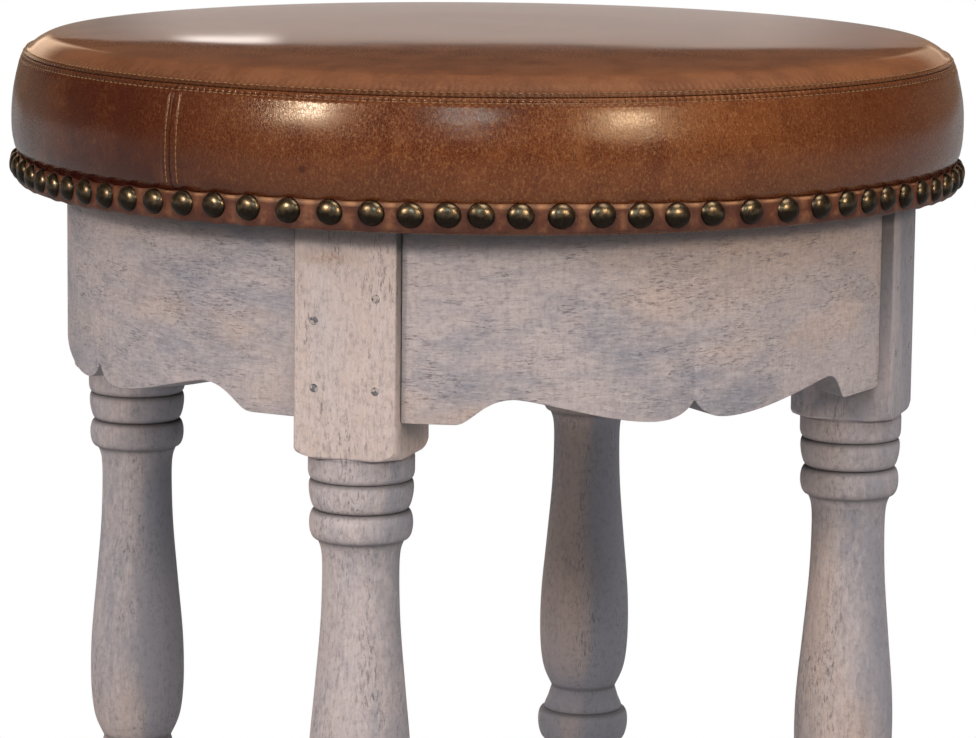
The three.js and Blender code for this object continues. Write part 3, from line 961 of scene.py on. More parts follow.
@dataclass(frozen=True)
class Plastic(Finish):
    """Moulded dark plastic of the glides, scuffed from the floor."""

    name: str = "glide_plastic"
    body: Colour = (0.062, 0.052, 0.046)
    scuff: Colour = (0.17, 0.15, 0.135)

    def paint(self, board: Board, place: Value) -> dict[str, Link]:
        """Draws the finish."""
        scratch = board.cloud(board.stretch(place, (1, 5, 1)), 300.0, 5.0, 0.7)
        low = 1 - board.split(place)[2].ease(0.0, 0.0016)
        colour = board.mix(scratch.ease(0.5, 0.7) * low, self.body, self.scuff)
        return {"Base Color": colour, "Roughness": 0.38 + scratch * 0.3,
                "Normal": board.bump(scratch, 0.00015, 0.5)}


@dataclass(frozen=True)
class Fibre(Finish):
    """Soft filling: felted fibre, or foam with open cells."""

    name: str
    pale: Colour
    dark: Colour
    scale: float
    cells: bool

    def paint(self, board: Board, place: Value) -> dict[str, Link]:
        """Draws the finish."""
        if self.cells:
            fine = board.cells(place, self.scale).ease(0.02, 0.3)
        else:
            fine = board.cloud(board.shaken(place, 60.0, 0.02), self.scale, 6.0, 0.75, 1.5)
        broad = board.cloud(place, 14.0, 3.0)
        colour = board.mix(fine * 0.7 + broad * 0.3, self.dark, self.pale)
        return {"Base Color": colour, "Roughness": 0.86 + fine * 0.1,
                "Normal": board.bump(fine, 0.0006, 0.8)}


@dataclass(frozen=True)
class DustCloth(Finish):
    """Black spun cloth under the seat, with its pressed dots."""

    name: str = "dust_cloth"
    body: Colour = (0.013, 0.013, 0.015)
    lint: Colour = (0.038, 0.037, 0.037)
    pitch: float = 1.6

    def paint(self, board: Board, place: Value) -> dict[str, Link]:
        """Draws the finish."""
        x, y, _ = board.split(place)
        turn = 2 * math.pi / (self.pitch * MM)
        dots = ((x * turn).sine() * (y * turn).sine()).ease(0.25, 0.8)
        fluff = board.cloud(board.stretch(place, (1, 4, 1)), 330.0, 5.0, 0.75)
        colour = board.mix(fluff.ease(0.42, 0.7) * (1 - dots * 0.7), self.body, self.lint)
        return {"Base Color": colour, "Roughness": 0.78 + fluff * 0.2,
                "Normal": board.bump(fluff * 0.5 - dots * 0.5, 0.0003, 0.8)}


# Seat


@dataclass(frozen=True)
class SeatForm:
    """Outline of the upholstered seat, in millimetres, as its solids have it."""

    seam_radius: float = 241.75
    seam_height: float = 483.4
    crown_rise: float = 14.5
    bulge: float = 6.05
    strip_top: float = 432.8
    board_top: float = 438.0
    crown_steps: int = 240
    side_steps: int = 160
    crown_shares: tuple[Point, ...] = (
        (0, 1), (0.33, 0.959), (0.6, 0.863), (0.8, 0.757), (0.88, 0.703), (0.92, 0.663),
        (0.945, 0.587), (0.967, 0.41), (0.985, 0.2), (1, 0))
    side_shares: tuple[Point, ...] = (
        (1, 0), (0.85, 0.44), (0.7, 0.73), (0.53, 0.935), (0.36, 1), (0.2, 0.95),
        (0.08, 0.8), (0.03, 0.6))

    def crown(self, inset: float = 0.0) -> Outline:
        """The crown from the seam to the middle, drawn in by a distance."""
        share = (self.seam_radius - inset) / self.seam_radius
        line = [(max(radius, 0) * self.seam_radius * share,
                 self.seam_height + rise * self.crown_rise - inset)
                for radius, rise in spline(self.crown_shares, self.crown_steps)]
        return Outline(line[::-1])

    def side(self, inset: float = 0.0) -> Outline:
        """The boxing from the seam down to the strip, drawn in by a distance."""
        deep = self.seam_height - self.strip_top
        return Outline([(self.seam_radius + out * self.bulge - inset,
                         self.strip_top + height * deep)
                        for height, out in spline(self.side_shares, self.side_steps)])


@dataclass
class SeatCover:
    """The sewn leather: top panel, two boxing panels and the thread."""

    form: SeatForm
    leather: float = 1.4
    hem: float = 8.0
    stitch_line: float = 2.7
    stitches: int = 411
    stitch_length: float = 2.7
    thread: float = 0.30
    joint_angle: float = -155.4
    seam_sag: float = 0.8
    slack_side: tuple[float, float, float] = (-0.463, -0.886, 0.0)
    joint_rows: tuple[float, float] = (2.6, 4.2)
    cover_radius: float = 243.2
    flange_radius: float = 226.2
    fold: float = 419.7
    sides: int = 288
    top_wander: float = 0.012
    side_wander: float = 0.3
    thread_lift: float = 0.12
    joint_stitches: tuple[float, float, float] = (5.2, 3.25, 1.15)
    frames: int = 12
    most_swell: float = 0.45
    swollen_from: Point = (25.0, 90.0)
    held_from: Point = (222.0, 236.0)
    cloth_settings: dict[str, Any] = field(default_factory=lambda: {
        "quality": 3, "mass": 0.3, "tension_stiffness": 15, "compression_stiffness": 15,
        "shear_stiffness": 5, "bending_stiffness": 8, "use_pressure": True,
        "uniform_pressure_force": 0.4})

    def relief(self, distance: float) -> float:
        """Height of the leather over its outline, this far from the seam."""
        ridge = 0.3 * (1 - ease(distance, self.hem - 5.0, self.hem + 2.0))
        groove = 0.34 * swell(distance - self.stitch_line, 1.0)
        return ridge - groove

    def lifted(self, line: Outline, distance: float, flip: float) -> Point:
        """A point of the leather's face, with its relief, this far from the seam."""
        spot, way = line.at(distance)
        fade = ease(distance, 0.0, 1.4)
        height = (self.relief(distance) - 0.25) * fade
        return spot.x + flip * way.y * height, spot.y - flip * way.x * height

    def steps(self, length: float) -> list[float]:
        """Distances from the seam, close together beside it and wider further off."""
        marks, mark, stride = [], 1.6, 0.42
        while mark < length - 1.0:
            marks.append(mark)
            stride = 0.42 if mark < 10 else min(stride * 1.12, 6.5)
            mark += stride
        return marks

    def swing(self, co: Vector, rise: float) -> Vector:
        """Lets the leather's face wander a little, as filling under it does."""
        wander = noise.noise(Vector((co.x, co.y, co.z * 1.6)) / 46.0)
        wander += 0.5 * noise.noise(Vector((co.y, co.z * 2, co.x)) / 21.0)
        side = ease(co.z, 436, 446) * (1 - ease(co.z, 474, 482))
        top = 1 - ease(reach(co), 215, 236)
        out = Vector((co.x, co.y, 0)).normalized()
        front = out.dot(Vector(self.slack_side))
        sag = self.seam_sag * front * max(front, 0) * ease(co.z, 440, 480)
        sag *= ease(reach(co), 170, 225)
        return (co + out * (wander * rise * side)
                + Vector((0, 0, wander * rise * 1.3 * top - sag)))

    def fill_out(self, piece: Piece) -> None:
        """Swells the crown over its filling in a short cloth simulation, held at its seam."""
        Bench.sort(piece)
        vertices = piece.data.vertices
        start = [vertex.co.copy() for vertex in vertices]
        radii = [reach(co) / MM for co in start]
        held = piece.vertex_groups.new(name="held")
        for vertex in vertices:
            faces_up = vertex.normal.z > 0.2
            share = ease(radii[vertex.index], *self.held_from) if faces_up else 1.0
            held.add([vertex.index], share, "REPLACE")
        cloth = piece.modifiers.new("cloth", "CLOTH")
        cloth.collision_settings.use_collision = False
        cloth.point_cache.frame_end = self.frames
        for name, value in self.cloth_settings.items():
            setattr(cloth.settings, name, value)
        cloth.settings.vertex_group_mass = held.name
        cloth.settings.effector_weights.gravity = 0
        for count in range(1, self.frames + 1):
            bpy.context.scene.frame_set(count)
        swollen = piece.evaluated_get(bpy.context.evaluated_depsgraph_get()).data.vertices
        moves = [after.co - before for after, before in zip(swollen, start)]
        piece.modifiers.remove(cloth)
        piece.vertex_groups.remove(held)
        for vertex, move, radius in zip(vertices, moves, radii):
            capped = min(1.0, self.most_swell * MM / max(move.length, 1e-9))
            vertex.co += move * capped * ease(radius, *self.swollen_from)
        bpy.context.scene.frame_set(1)
        log.info("crown swollen by up to %.2f mm", max(move.length for move in moves) / MM)

    def top_panel(self, hide: bpy.types.Material) -> Piece:
        """Turns the top panel, rolled in at the seam, and pads it."""
        form = self.form
        crown = form.crown()
        marks = self.steps(crown.length)
        outer = [self.lifted(crown, mark, -1) for mark in reversed(marks)]
        seam_r, seam_z = form.seam_radius, form.seam_height
        roll = [(seam_r - 0.5, seam_z + 0.8), (seam_r - 0.22, seam_z + 0.5),
                (seam_r - 0.3, seam_z + 0.22), (seam_r - 0.8, seam_z + 0.07),
                (seam_r - 2.4, seam_z + 0.06)]
        inner = [(seam_r - 3.6, seam_z + 0.06)]
        under = form.crown(self.leather)
        inner += [tuple(under.at(mark)[0]) for mark in marks[12::4]]
        top = outer[0][1]
        line = [(0.0, top), *outer, *roll, *inner, (0.0, top - self.leather)]
        piece = Bench.lathe("seat_top_panel", line, self.sides)
        Bench.reshape(piece, lambda co: self.swing(co, self.top_wander))
        self.fill_out(piece)
        Bench.smooth(piece, 60)
        return dress(piece, hide, "leather", ["leather_top"])

    def boxing_line(self) -> list[Point]:
        """Closed outline of the boxing, from the seam round the board's rim and back."""
        form = self.form
        side = form.side()
        seam_r, seam_z = form.seam_radius, form.seam_height
        roll = [(seam_r - 3.2, seam_z - 0.06), (seam_r - 1.0, seam_z - 0.07),
                (seam_r - 0.35, seam_z - 0.24), (seam_r + 0.1, seam_z - 0.65)]
        face = [self.lifted(side, mark, -1) for mark in self.steps(side.length)]
        cover, fold = self.cover_radius, self.fold
        low = [(244.9, 433.6), (243.7, 432.8), (cover, 431.2), (cover, 426), (cover, 420.4),
               (cover - 0.3, fold - 1.0), (cover - 1.0, fold - self.leather),
               (234, fold - self.leather), (self.flange_radius, fold - self.leather),
               (self.flange_radius, fold), (234, fold), (cover - self.leather, fold),
               (cover - self.leather, 433.1)]
        lining = form.side(self.leather)
        back = [tuple(lining.at(lining.length * share)[0])
                for share in (0.93, 0.8, 0.6, 0.4, 0.22)]
        doubled = [(seam_r - 1.9, seam_z - 7.6), (seam_r - 3.2, seam_z - 7.0),
                   (seam_r - 3.5, seam_z - 2.0)]
        return [*roll, *face, *low, *back, *doubled, roll[0]]

    def boxing_panel(self, name: str, start: float, node: str, hide: bpy.types.Material
                     ) -> Piece:
        """Turns one boxing panel and rolls its two ends into the upright joints.

        Args:
            name: Name of the piece.
            start: Angle of its first end, in degrees.
            node: The CAD node that it stands for.
            hide: Its leather.

        Returns:
            The panel.
        """
        piece = Bench.lathe(name, self.boxing_line(), self.sides, math.pi)
        Bench.cap(piece)
        gap = 0.10 / self.form.seam_radius

        def bend(co: Vector) -> Vector:
            radius = reach(co)
            share = abs(heading(co)) / math.pi
            eased = share - 0.965 * math.sin(2 * math.pi * share) / (2 * math.pi)
            turn = gap + (math.pi - 2 * gap) * eased
            near = min(turn, math.pi - turn) * radius
            face = ease(radius, self.form.seam_radius - 4, self.form.seam_radius - 1)
            roll = 0.8 * (1 - ease(near, 0.0, 0.8)) - 0.32 * (1 - ease(near, 4.5, 6.0))
            row = self.joint_rows[0 if turn > math.pi / 2 else 1]
            groove = 0.3 * swell(near - row, 0.8)
            free = ease(co.z, 431, 436)
            radius -= (roll + groove) * face * free
            return self.swing(polar(radius, math.radians(start) + turn, co.z),
                              self.side_wander)

        Bench.reshape(piece, bend)
        Bench.weld(piece)
        Bench.smooth(piece, 60)
        return dress(piece, hide, "leather", [node])

    def stitch(self) -> Piece:
        """One stitch along Y at the origin, thickest in its middle."""
        half, radius = self.stitch_length / 2, self.thread
        line = [(0, -half), (0.62 * radius, -0.86 * half), (radius, -0.3 * half),
                (radius, 0.3 * half), (0.62 * radius, 0.86 * half), (0, half)]
        piece = Bench.lathe("stitch", line, 6)
        piece.rotation_euler = (math.pi / 2, 0, 0)
        Bench.settle(piece)
        Bench.smooth(piece, 60)
        return piece

    def sewing(self, stitch: Piece, thread: bpy.types.Material) -> Piece:
        """Sews the rows beside the seam and beside the two upright joints.

        Args:
            stitch: One stitch at the origin, used up here.
            thread: Its finish.

        Returns:
            All stitches as one piece.
        """
        rows = []
        lift = self.thread_lift
        for name, line in (("top_row", self.form.crown()), ("side_row", self.form.side())):
            radius, height = self.lifted(line, self.stitch_line, -1)
            row = Bench.copy(stitch, name, Matrix.Translation(
                Vector((radius + lift, 0, height + (lift if name == "top_row" else 0))) * MM))
            Bench.ring(row, self.stitches)
            rows.append(row)
        places = []
        side = self.form.side()
        first, pitch, size = self.joint_stitches
        for joint in (self.joint_angle, self.joint_angle + 180):
            for row, offset in zip((-1, 1), self.joint_rows):
                distance = first
                while distance < side.length - 1.5:
                    spot, way = side.at(distance)
                    angle = math.radians(joint) + row * offset / spot.x
                    lean = math.atan2(way.x, -way.y)
                    places.append(
                        Matrix.Rotation(angle, 4, "Z")
                        @ Matrix.Translation(Vector((spot.x - 0.22, 0, spot.y)) * MM)
                        @ Matrix.Rotation(-lean, 4, "Y") @ Matrix.Rotation(math.pi / 2, 4, "X")
                        @ Matrix.Scale(size, 4))
                    distance += pitch
        rows.append(Bench.scatter(stitch, "joint_rows", places))
        piece = Bench.call(Bench.join(*rows), "seam_stitches")
        Bench.reshape(piece, lambda co: self.swing(co, self.side_wander))
        return dress(piece, thread, "thread")

    def build(self) -> None:
        """Makes and dresses the cover."""
        hide = Hide(
            seam_height=self.form.seam_height,
            side_row=self.lifted(self.form.side(), self.stitch_line, -1)[1],
            top_row=self.lifted(self.form.crown(), self.stitch_line, -1)[0]).make()
        self.top_panel(hide)
        self.boxing_panel("boxing_panel_front", self.joint_angle, "boxing_front", hide)
        self.boxing_panel("boxing_panel_back", self.joint_angle + 180, "boxing_back", hide)
        self.sewing(self.stitch(), Thread().make())


@dataclass
class NailedStrip:
    """The leather strip round the seat's rim and its row of dome-headed nails."""

    radius: float = 245.5
    back: float = 243.5
    bottom: float = 419.0
    top: float = 432.8
    nail_height: float = 426.9
    nail_radius: float = 6.6
    nail_rise: float = 3.9
    nail_squash: float = 0.93
    nail_depth: float = 0.55
    seed: int = 83
    askew: tuple[tuple[float, str], ...] = ((3.0, "Y"), (3.0, "Z"), (14.0, "X"))
    uneven: float = 0.3
    side_sag: float = 1.8
    nails: int = 83
    first_nail: float = -109.3
    sides: int = 664
    drift: tuple[Point, ...] = (
        (-190, 4), (-181, 1), (-172, -3.3), (-158, -5.3), (-145, -4.6), (-140, -1.5),
        (-132, 3), (-124, 3.2), (-118, -0.8), (-112, -0.9), (-104, 1), (-92, 0.6),
        (-86, 4.5), (-80, 9.4), (-73, 9.6), (-64, 4.4), (-50, 6.8), (-38, 9.8), (10, 0),
        (60, -3), (110, 3), (150, -2), (170, 4))

    def angles(self) -> list[float]:
        """Angle of each nail: an even round, with the drift of setting them by hand."""
        pitch = 360 / self.nails
        found = []
        for count in range(self.nails):
            angle = (self.first_nail + count * pitch + 190) % 360 - 190
            right = next(i for i, (at, _) in enumerate(self.drift) if at > angle)
            (a, low), (b, high) = self.drift[right - 1], self.drift[right]
            share = (angle - a) / (b - a)
            found.append(math.radians(angle) + (low + (high - low) * share) / self.radius)
        return sorted(found)

    def strip(self) -> Piece:
        """Turns the strip and presses it in under each nail."""
        bottom, top, face = self.bottom, self.top, self.radius
        line = [(self.back, bottom + 0.5), (face - 1.7, bottom), (face - 0.8, bottom + 0.1),
                (face - 0.25, bottom + 0.5), (face, bottom + 1.3), (face + 0.05, bottom + 2.6),
                (face + 0.05, bottom + 4.5), (face, bottom + 7), (face + 0.05, bottom + 9),
                (face + 0.05, top - 2.9), (face + 0.02, top - 1.9), (face - 0.1, top - 1.1),
                (face - 0.5, top - 0.4), (face - 1.2, top), (face - 1.9, top - 0.15),
                (self.back, top - 0.8), (self.back, bottom + 0.5)]
        piece = Bench.lathe("rim_strip", line, self.sides)
        nails = self.angles()
        spread = [nails[-1] - 2 * math.pi, *nails, nails[0] + 2 * math.pi]

        def press(co: Vector) -> Vector:
            angle = heading(co)
            if angle < nails[0] - 0.05:
                angle += 2 * math.pi
            i = bisect.bisect(spread, angle)
            near = self.nearest(spread, i, angle)
            radius = reach(co)
            tall = (co.z - self.nail_height) / self.nail_radius
            hold = swell(near, 4.6)
            wave = 0.5 + 0.5 * noise.noise(Vector((co.x, co.y, 0)) / 13)
            outer = ease(radius, self.back, self.back + 1.2)
            radius += outer * (0.18 * (1 - hold) * (1 - 0.5 * tall * tall) * (0.5 + wave)
                               - 0.5 * hold)
            rise = 0.55 * hold * ease(tall, 0.3, 1.0) - 0.45 * (1 - hold) * ease(tall, 0.3, 1)
            drop = -0.40 * hold * ease(-tall, 0.4, 1.0) + 0.3 * (1 - hold) * ease(-tall, 0.4, 1)
            hang = self.lift(angle) * ease(tall, -1.0, 1.0) - self.sag(angle)
            return polar(radius, angle, co.z + rise + drop + hang)

        Bench.reshape(piece, press)

        def relief(co: Vector) -> Vector:
            radius = reach(co)
            # Where the folded top edge gets a painted highlight.
            edge = ease(co.z, self.top - 2.4, self.top - 1.3) * ease(radius, 244.4, 245.1)
            angle = heading(co)
            i = bisect.bisect(spread, angle)
            near = abs(self.nearest(spread, i, angle))
            co = co + Vector((0, 0, self.sag(angle)))
            # Where painted shade falls: round each nail head and along the lower edge.
            low = ease(self.bottom + 3.0 - co.z, 0, 2.5)
            return Vector((edge, max((1 - ease(near, 6.4, 8.6)) * 0.9, low * 0.8), 0))

        Bench.mark(piece, "relief", relief)
        Bench.smooth(piece, 60)
        return piece

    def nearest(self, spread: Sequence[float], i: int, angle: float) -> float:
        """Distance along the strip to the nearest nail."""
        gaps = [(angle - spread[k]) * self.radius for k in (i - 1, i) if 0 <= k < len(spread)]
        return min(gaps, key=abs)

    def nail(self) -> Piece:
        """One dome head, its face along +X, with its own place stored for the finish."""
        radius, rise = self.nail_radius, self.nail_rise
        line = [(0, -0.9), (radius * 0.96, -0.9), (radius * 1.0, -0.35), (radius, 0.15)]
        for step in range(1, 12):
            angle = math.pi / 2 * step / 11
            line.append((radius * math.cos(angle) ** 0.85,
                         0.15 + (rise - 0.15) * math.sin(angle) ** 1.1))
        line[-1] = (0, rise)
        piece = Bench.lathe("nail", line, 28)
        piece.rotation_euler = (0, math.pi / 2, 0)
        Bench.settle(piece)
        Bench.mark(piece, "nail", lambda co: Vector((co.y / radius, co.x / rise, co.z / radius)))
        Bench.reshape(piece, lambda co: Vector((co.x, co.y, co.z * self.nail_squash)))
        Bench.smooth(piece, 50)
        return piece

    def row(self) -> Piece:
        """Sets all nails, each a little out of true."""
        hand = random.Random(self.seed)
        places = []
        for angle in self.angles():
            lean = [Matrix.Rotation(math.radians(hand.uniform(-most, most)), 4, axis)
                    for most, axis in self.askew]
            height = self.nail_height + self.lift(angle) - self.sag(angle)
            height += hand.uniform(-self.uneven, self.uneven)
            spot = Vector((self.radius - self.nail_depth, 0, height)) * MM
            places.append(Matrix.Rotation(angle, 4, "Z") @ Matrix.Translation(spot)
                          @ lean[0] @ lean[1] @ lean[2])
        return Bench.scatter(self.nail(), "dome_nails", places)

    def lift(self, angle: float) -> float:
        """How far the strip's upper edge and its nails rise above their plain height."""
        return 1.1 * swell(math.degrees(angle) + 126, 32) + 0.25 * math.sin(9 * angle)

    def sag(self, angle: float) -> float:
        """How far the strip hangs lower at the left and right of the photograph."""
        turn = math.degrees(angle)
        left = swell((turn + 354) % 360 - 180, 30)
        return self.side_sag * (left + swell((turn + 208) % 360 - 180, 36))

    def build(self) -> None:
        """Makes and dresses the strip and its nails."""
        dress(self.strip(), Trim().make(), "nail_strip", ["nail_strip"])
        dress(self.row(), AntiqueBrass().make(), "nail_brass")


@dataclass
class Filling:
    """Foam and wadding between the board and the leather."""

    form: SeatForm
    wadding_inset: float = 3.1
    wadding_thickness: float = 5.0
    gap: float = 0.3
    sides: int = 96

    def line(self, inset: float) -> list[Point]:
        """Outline of the filling from the crown's middle down to the board."""
        crown = self.form.crown(inset)
        side = self.form.side(inset)
        floor = self.form.board_top + self.gap
        top = self.form.seam_height - inset
        over = [tuple(crown.at(crown.length * share)[0])
                for share in (1.0, 0.8, 0.6, 0.4, 0.25, 0.15, 0.08, 0.03)]
        down = [tuple(point) for point in side.points[::16] if floor + 1 < point.y < top]
        return [(0.0, over[0][1]), *over[1:], *down, (down[-1][0], floor)]

    def build(self) -> None:
        """Makes and dresses the wadding and the foam."""
        outer = self.line(self.wadding_inset)
        inner = self.line(self.wadding_inset + self.wadding_thickness)
        wadding = Bench.lathe("seat_wadding", [*outer, *inner[::-1]], self.sides)
        foam_line = self.line(self.wadding_inset + self.wadding_thickness + self.gap)
        foam = Bench.lathe("seat_foam", [*foam_line, (0.0, foam_line[-1][1])], self.sides)
        fibre = Fibre("fibre_wadding", (0.90, 0.88, 0.83), (0.74, 0.71, 0.65), 190.0, False)
        cells = Fibre("seat_foam", (0.82, 0.74, 0.50), (0.62, 0.53, 0.33), 700.0, True)
        for piece, finish, slot, node, fill in (
                (wadding, fibre, "wadding", "wadding", 0.8),
                (foam, cells, "foam", "foam_core", 0.95)):
            Bench.reshape(piece, lambda co: co + Vector((0, 0, 0.25)) * noise.noise(co / 25)
                          * ease(co.z, 439, 446))
            Bench.smooth(piece, 50)
            dress(piece, finish.make(), slot, [node])


@dataclass
class SeatBase:
    """Below the filling: the plywood board and the dust cloth that is drawn tight on it."""

    cloth_radius: float = 224.2
    cloth_bottom: float = 418.3
    cloth_thickness: float = 0.7
    pulls: int = 44

    def cloth(self) -> Piece:
        """A stretched round of cloth, slack by a fraction of a millimetre."""
        bottom = self.cloth_bottom + 0.15
        top = bottom + self.cloth_thickness
        stops = [self.cloth_radius * share for share in (0.2, 0.4, 0.6, 0.75, 0.88, 0.96, 1.0)]
        line = [(0.0, bottom), *[(r, bottom) for r in stops],
                *[(r, top) for r in reversed(stops)], (0.0, top)]
        piece = Bench.lathe("dust_cloth", line, 96)

        def slack(co: Vector) -> Vector:
            pull = math.sin(heading(co) * self.pulls) * ease(reach(co), 150, 224)
            return co + Vector((0, 0, 0.12 * pull + 0.10 * noise.noise(co / 40)))

        Bench.reshape(piece, slack)
        Bench.smooth(piece, 50)
        return piece

    def build(self) -> None:
        """Makes and dresses the base."""
        dress(self.cloth(), DustCloth().make(), "dust_cloth", ["dust_cover"])
        plywood = PlainWood("birch_plywood", (0.62, 0.44, 0.24), (0.42, 0.26, 0.12),
                            (5.0, 0.7, 5.0), plies=1.5 * MM)
        coat(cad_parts["seat_board"], plywood.make())


# Frame


class Corner(Enum):
    """The four legs, by the angle of their corner in degrees."""

    back_right = 45
    back_left = 135
    front_left = 225
    front_right = 315


class Facing(Enum):
    """The four aprons: angle that each faces in degrees, and hand of its scallop."""

    right = (0, 1)
    back = (90, -1)
    left = (180, 1)
    front = (270, -1)


@dataclass
class Aprons:
    """Four curved rails with a scalloped lower edge, tenoned into the legs."""

    outside: float = 219.0
    inside: float = 197.0
    top: float = 418.0
    bottom: float = 323.8
    notch_rise: float = 9.6
    arch_rise: float = 12.4
    lobe: float = 20.0
    arch: float = 88.5
    coves: Point = (12.5, 24.5)
    stops: tuple[float, float, float] = (128.0, 140.0, 152.0)
    leg_half: float = 26.0
    middle_row: float = 30.0
    gap: float = 0.3
    tenon: tuple[float, float] = (9.0, 18.0)

    @staticmethod
    def between(start: float, end: float, share: float) -> float:
        """A value this share of the way from one to another."""
        return start + (end - start) * share

    def lower_edge(self, hand: int) -> list[Point]:
        """Place across and height of the scalloped edge, from end to end."""
        coves = self.coves if hand > 0 else self.coves[::-1]
        low, arch, notch = self.bottom, self.bottom + self.arch_rise, self.bottom + self.notch_rise
        left, right = -(self.arch + coves[0]), self.arch + coves[1]
        lobe, handle = self.lobe, self.lobe * 0.28
        mix = self.between
        ends = [(across, low) for across in self.stops]
        line = [(-across, height) for across, height in ends[::-1]]
        line += [(left - 4, low), (left, low)]
        for points, count in (
                ([(left, low), (mix(-self.arch, left, 0.75), low),
                  (mix(-self.arch, left, 0.55), arch), (-self.arch, arch)], 12),
                ([(-self.arch, arch), (mix(-lobe, -self.arch, 0.85), arch),
                  (mix(-lobe, -self.arch, 0.35), low), (-lobe, low)], 20),
                ([(-lobe, low), (-handle, low), (0, notch)], 10),
                ([(0, notch), (handle, low), (lobe, low)], 10),
                ([(lobe, low), (mix(lobe, self.arch, 0.35), low),
                  (mix(lobe, self.arch, 0.85), arch), (self.arch, arch)], 20),
                ([(self.arch, arch), (mix(self.arch, right, 0.55), arch),
                  (mix(self.arch, right, 0.75), low), (right, low)], 12)):
            line += bezier(points, count)
        return [*line, (right + 4, low), *ends]

    def rail(self, hand: int) -> Piece:
        """One rail facing +X: its edge drawn, raised, thickened and trimmed."""
        def outer(across: float) -> float:
            return math.sqrt(self.outside**2 - across**2)

        edge = [Vector((outer(y), y, z)) for y, z in self.lower_edge(hand)]
        piece = Bench.chain("rail", edge)
        Bench.edit(piece)
        lift = (0, 0, 2 * self.middle_row * MM)
        for _ in range(2):
            bpy.ops.mesh.extrude_region_move(TRANSFORM_OT_translate={"value": lift})
        Bench.close()
        Bench.reshape(piece, lambda co: Vector((co.x, co.y, self.level(co.z))))
        Bench.edit(piece)
        bpy.ops.mesh.extrude_region_move(
            TRANSFORM_OT_translate={"value": (-(self.outside - self.inside) * MM, 0, 0)})
        Bench.close()

        def curve(co: Vector) -> Vector:
            if co.x > outer(co.y) - 1:
                return co
            return Vector((math.sqrt(self.inside**2 - co.y**2), co.y, co.z))

        Bench.reshape(piece, curve)
        Bench.weld(piece)
        for end in (1, -1):
            away = Vector((-1, end, 0)).normalized()
            Bench.edit(piece)
            bpy.ops.mesh.bisect(plane_co=away * -(self.leg_half + self.gap) * MM,
                                plane_no=away, use_fill=True, clear_outer=True)
            Bench.close()
        Bench.weld(piece)
        Bench.modify(piece, "BEVEL", width=0.9 * MM, segments=2, limit_method="ANGLE",
                     angle_limit=math.radians(38), miter_outer="MITER_ARC")
        return piece

    def level(self, height: float) -> float:
        """Brings the two raised rows to a middle line and to the top."""
        row = self.middle_row
        if height < self.bottom + row:
            return height
        return self.top - row if height < self.bottom + 3 * row else self.top

    def along(self, co: Vector) -> Vector:
        """Place along the arc, into the wood and up, in metres, for the grain."""
        arc = heading(co) * self.outside
        return Vector((arc, reach(co), co.z)) * MM

    def wear(self, co: Vector) -> Vector:
        """Bare wood at the sawn underside and inner faces, also standing as painted shade inside
        the frame; thicker wash at the ends; warmth by the seat.
        """
        # Bare wood on all but the outer face, dark enough to stand as painted shade of the frame's
        # inside.
        low = ease(self.outside - reach(co), 0.3, 0.8)
        end = math.pi / 4 - math.asin(self.leg_half / self.outside)
        inward = (end - abs(heading(co))) * self.outside
        return Vector((0.8 * low, 0.3 * (1 - ease(inward, 5, 11)), ease(co.z, 370, 405)))

    def tenons(self, piece: Piece) -> None:
        """Adds the tenon at each end of a rail that faces +X."""
        thick, long = self.tenon
        middle = math.sqrt((self.inside / 2 + self.outside / 2) ** 2 - self.leg_half**2)
        for end in (1, -1):
            inner, outer = sorted((-end * (self.leg_half - long), -end * (self.leg_half + 4)))
            tongue = Bench.block("tongue", Vector((middle - thick / 2, inner, self.bottom + 6)),
                                 Vector((middle + thick / 2, outer, self.top - 10)))
            tongue.rotation_euler.z = end * math.pi / 4
            Bench.settle(tongue)
            Bench.shape(piece, tongue, "UNION")

    def build(self, wood: bpy.types.Material) -> None:
        """Makes one rail of each hand and sets it where it faces."""
        for hand in (1, -1):
            master = self.rail(hand)
            self.tenons(master)
            Bench.mark(master, "grain", self.along)
            Bench.mark(master, "wear", self.wear)
            Bench.smooth(master, 32)
            for facing in Facing:
                angle, wanted = facing.value
                if wanted != hand:
                    continue
                piece = Bench.copy(master, f"apron_rail_{facing.name}", turned(angle))
                shift = Vector((0.7 * angle / 90, 0.3, 0.11 * angle / 90))
                for entry in piece.data.attributes["grain"].data:
                    entry.vector = Vector(entry.vector) + shift
                dress(piece, wood, "wood", [f"apron_{facing.name}"])
            Bench.drop(master)


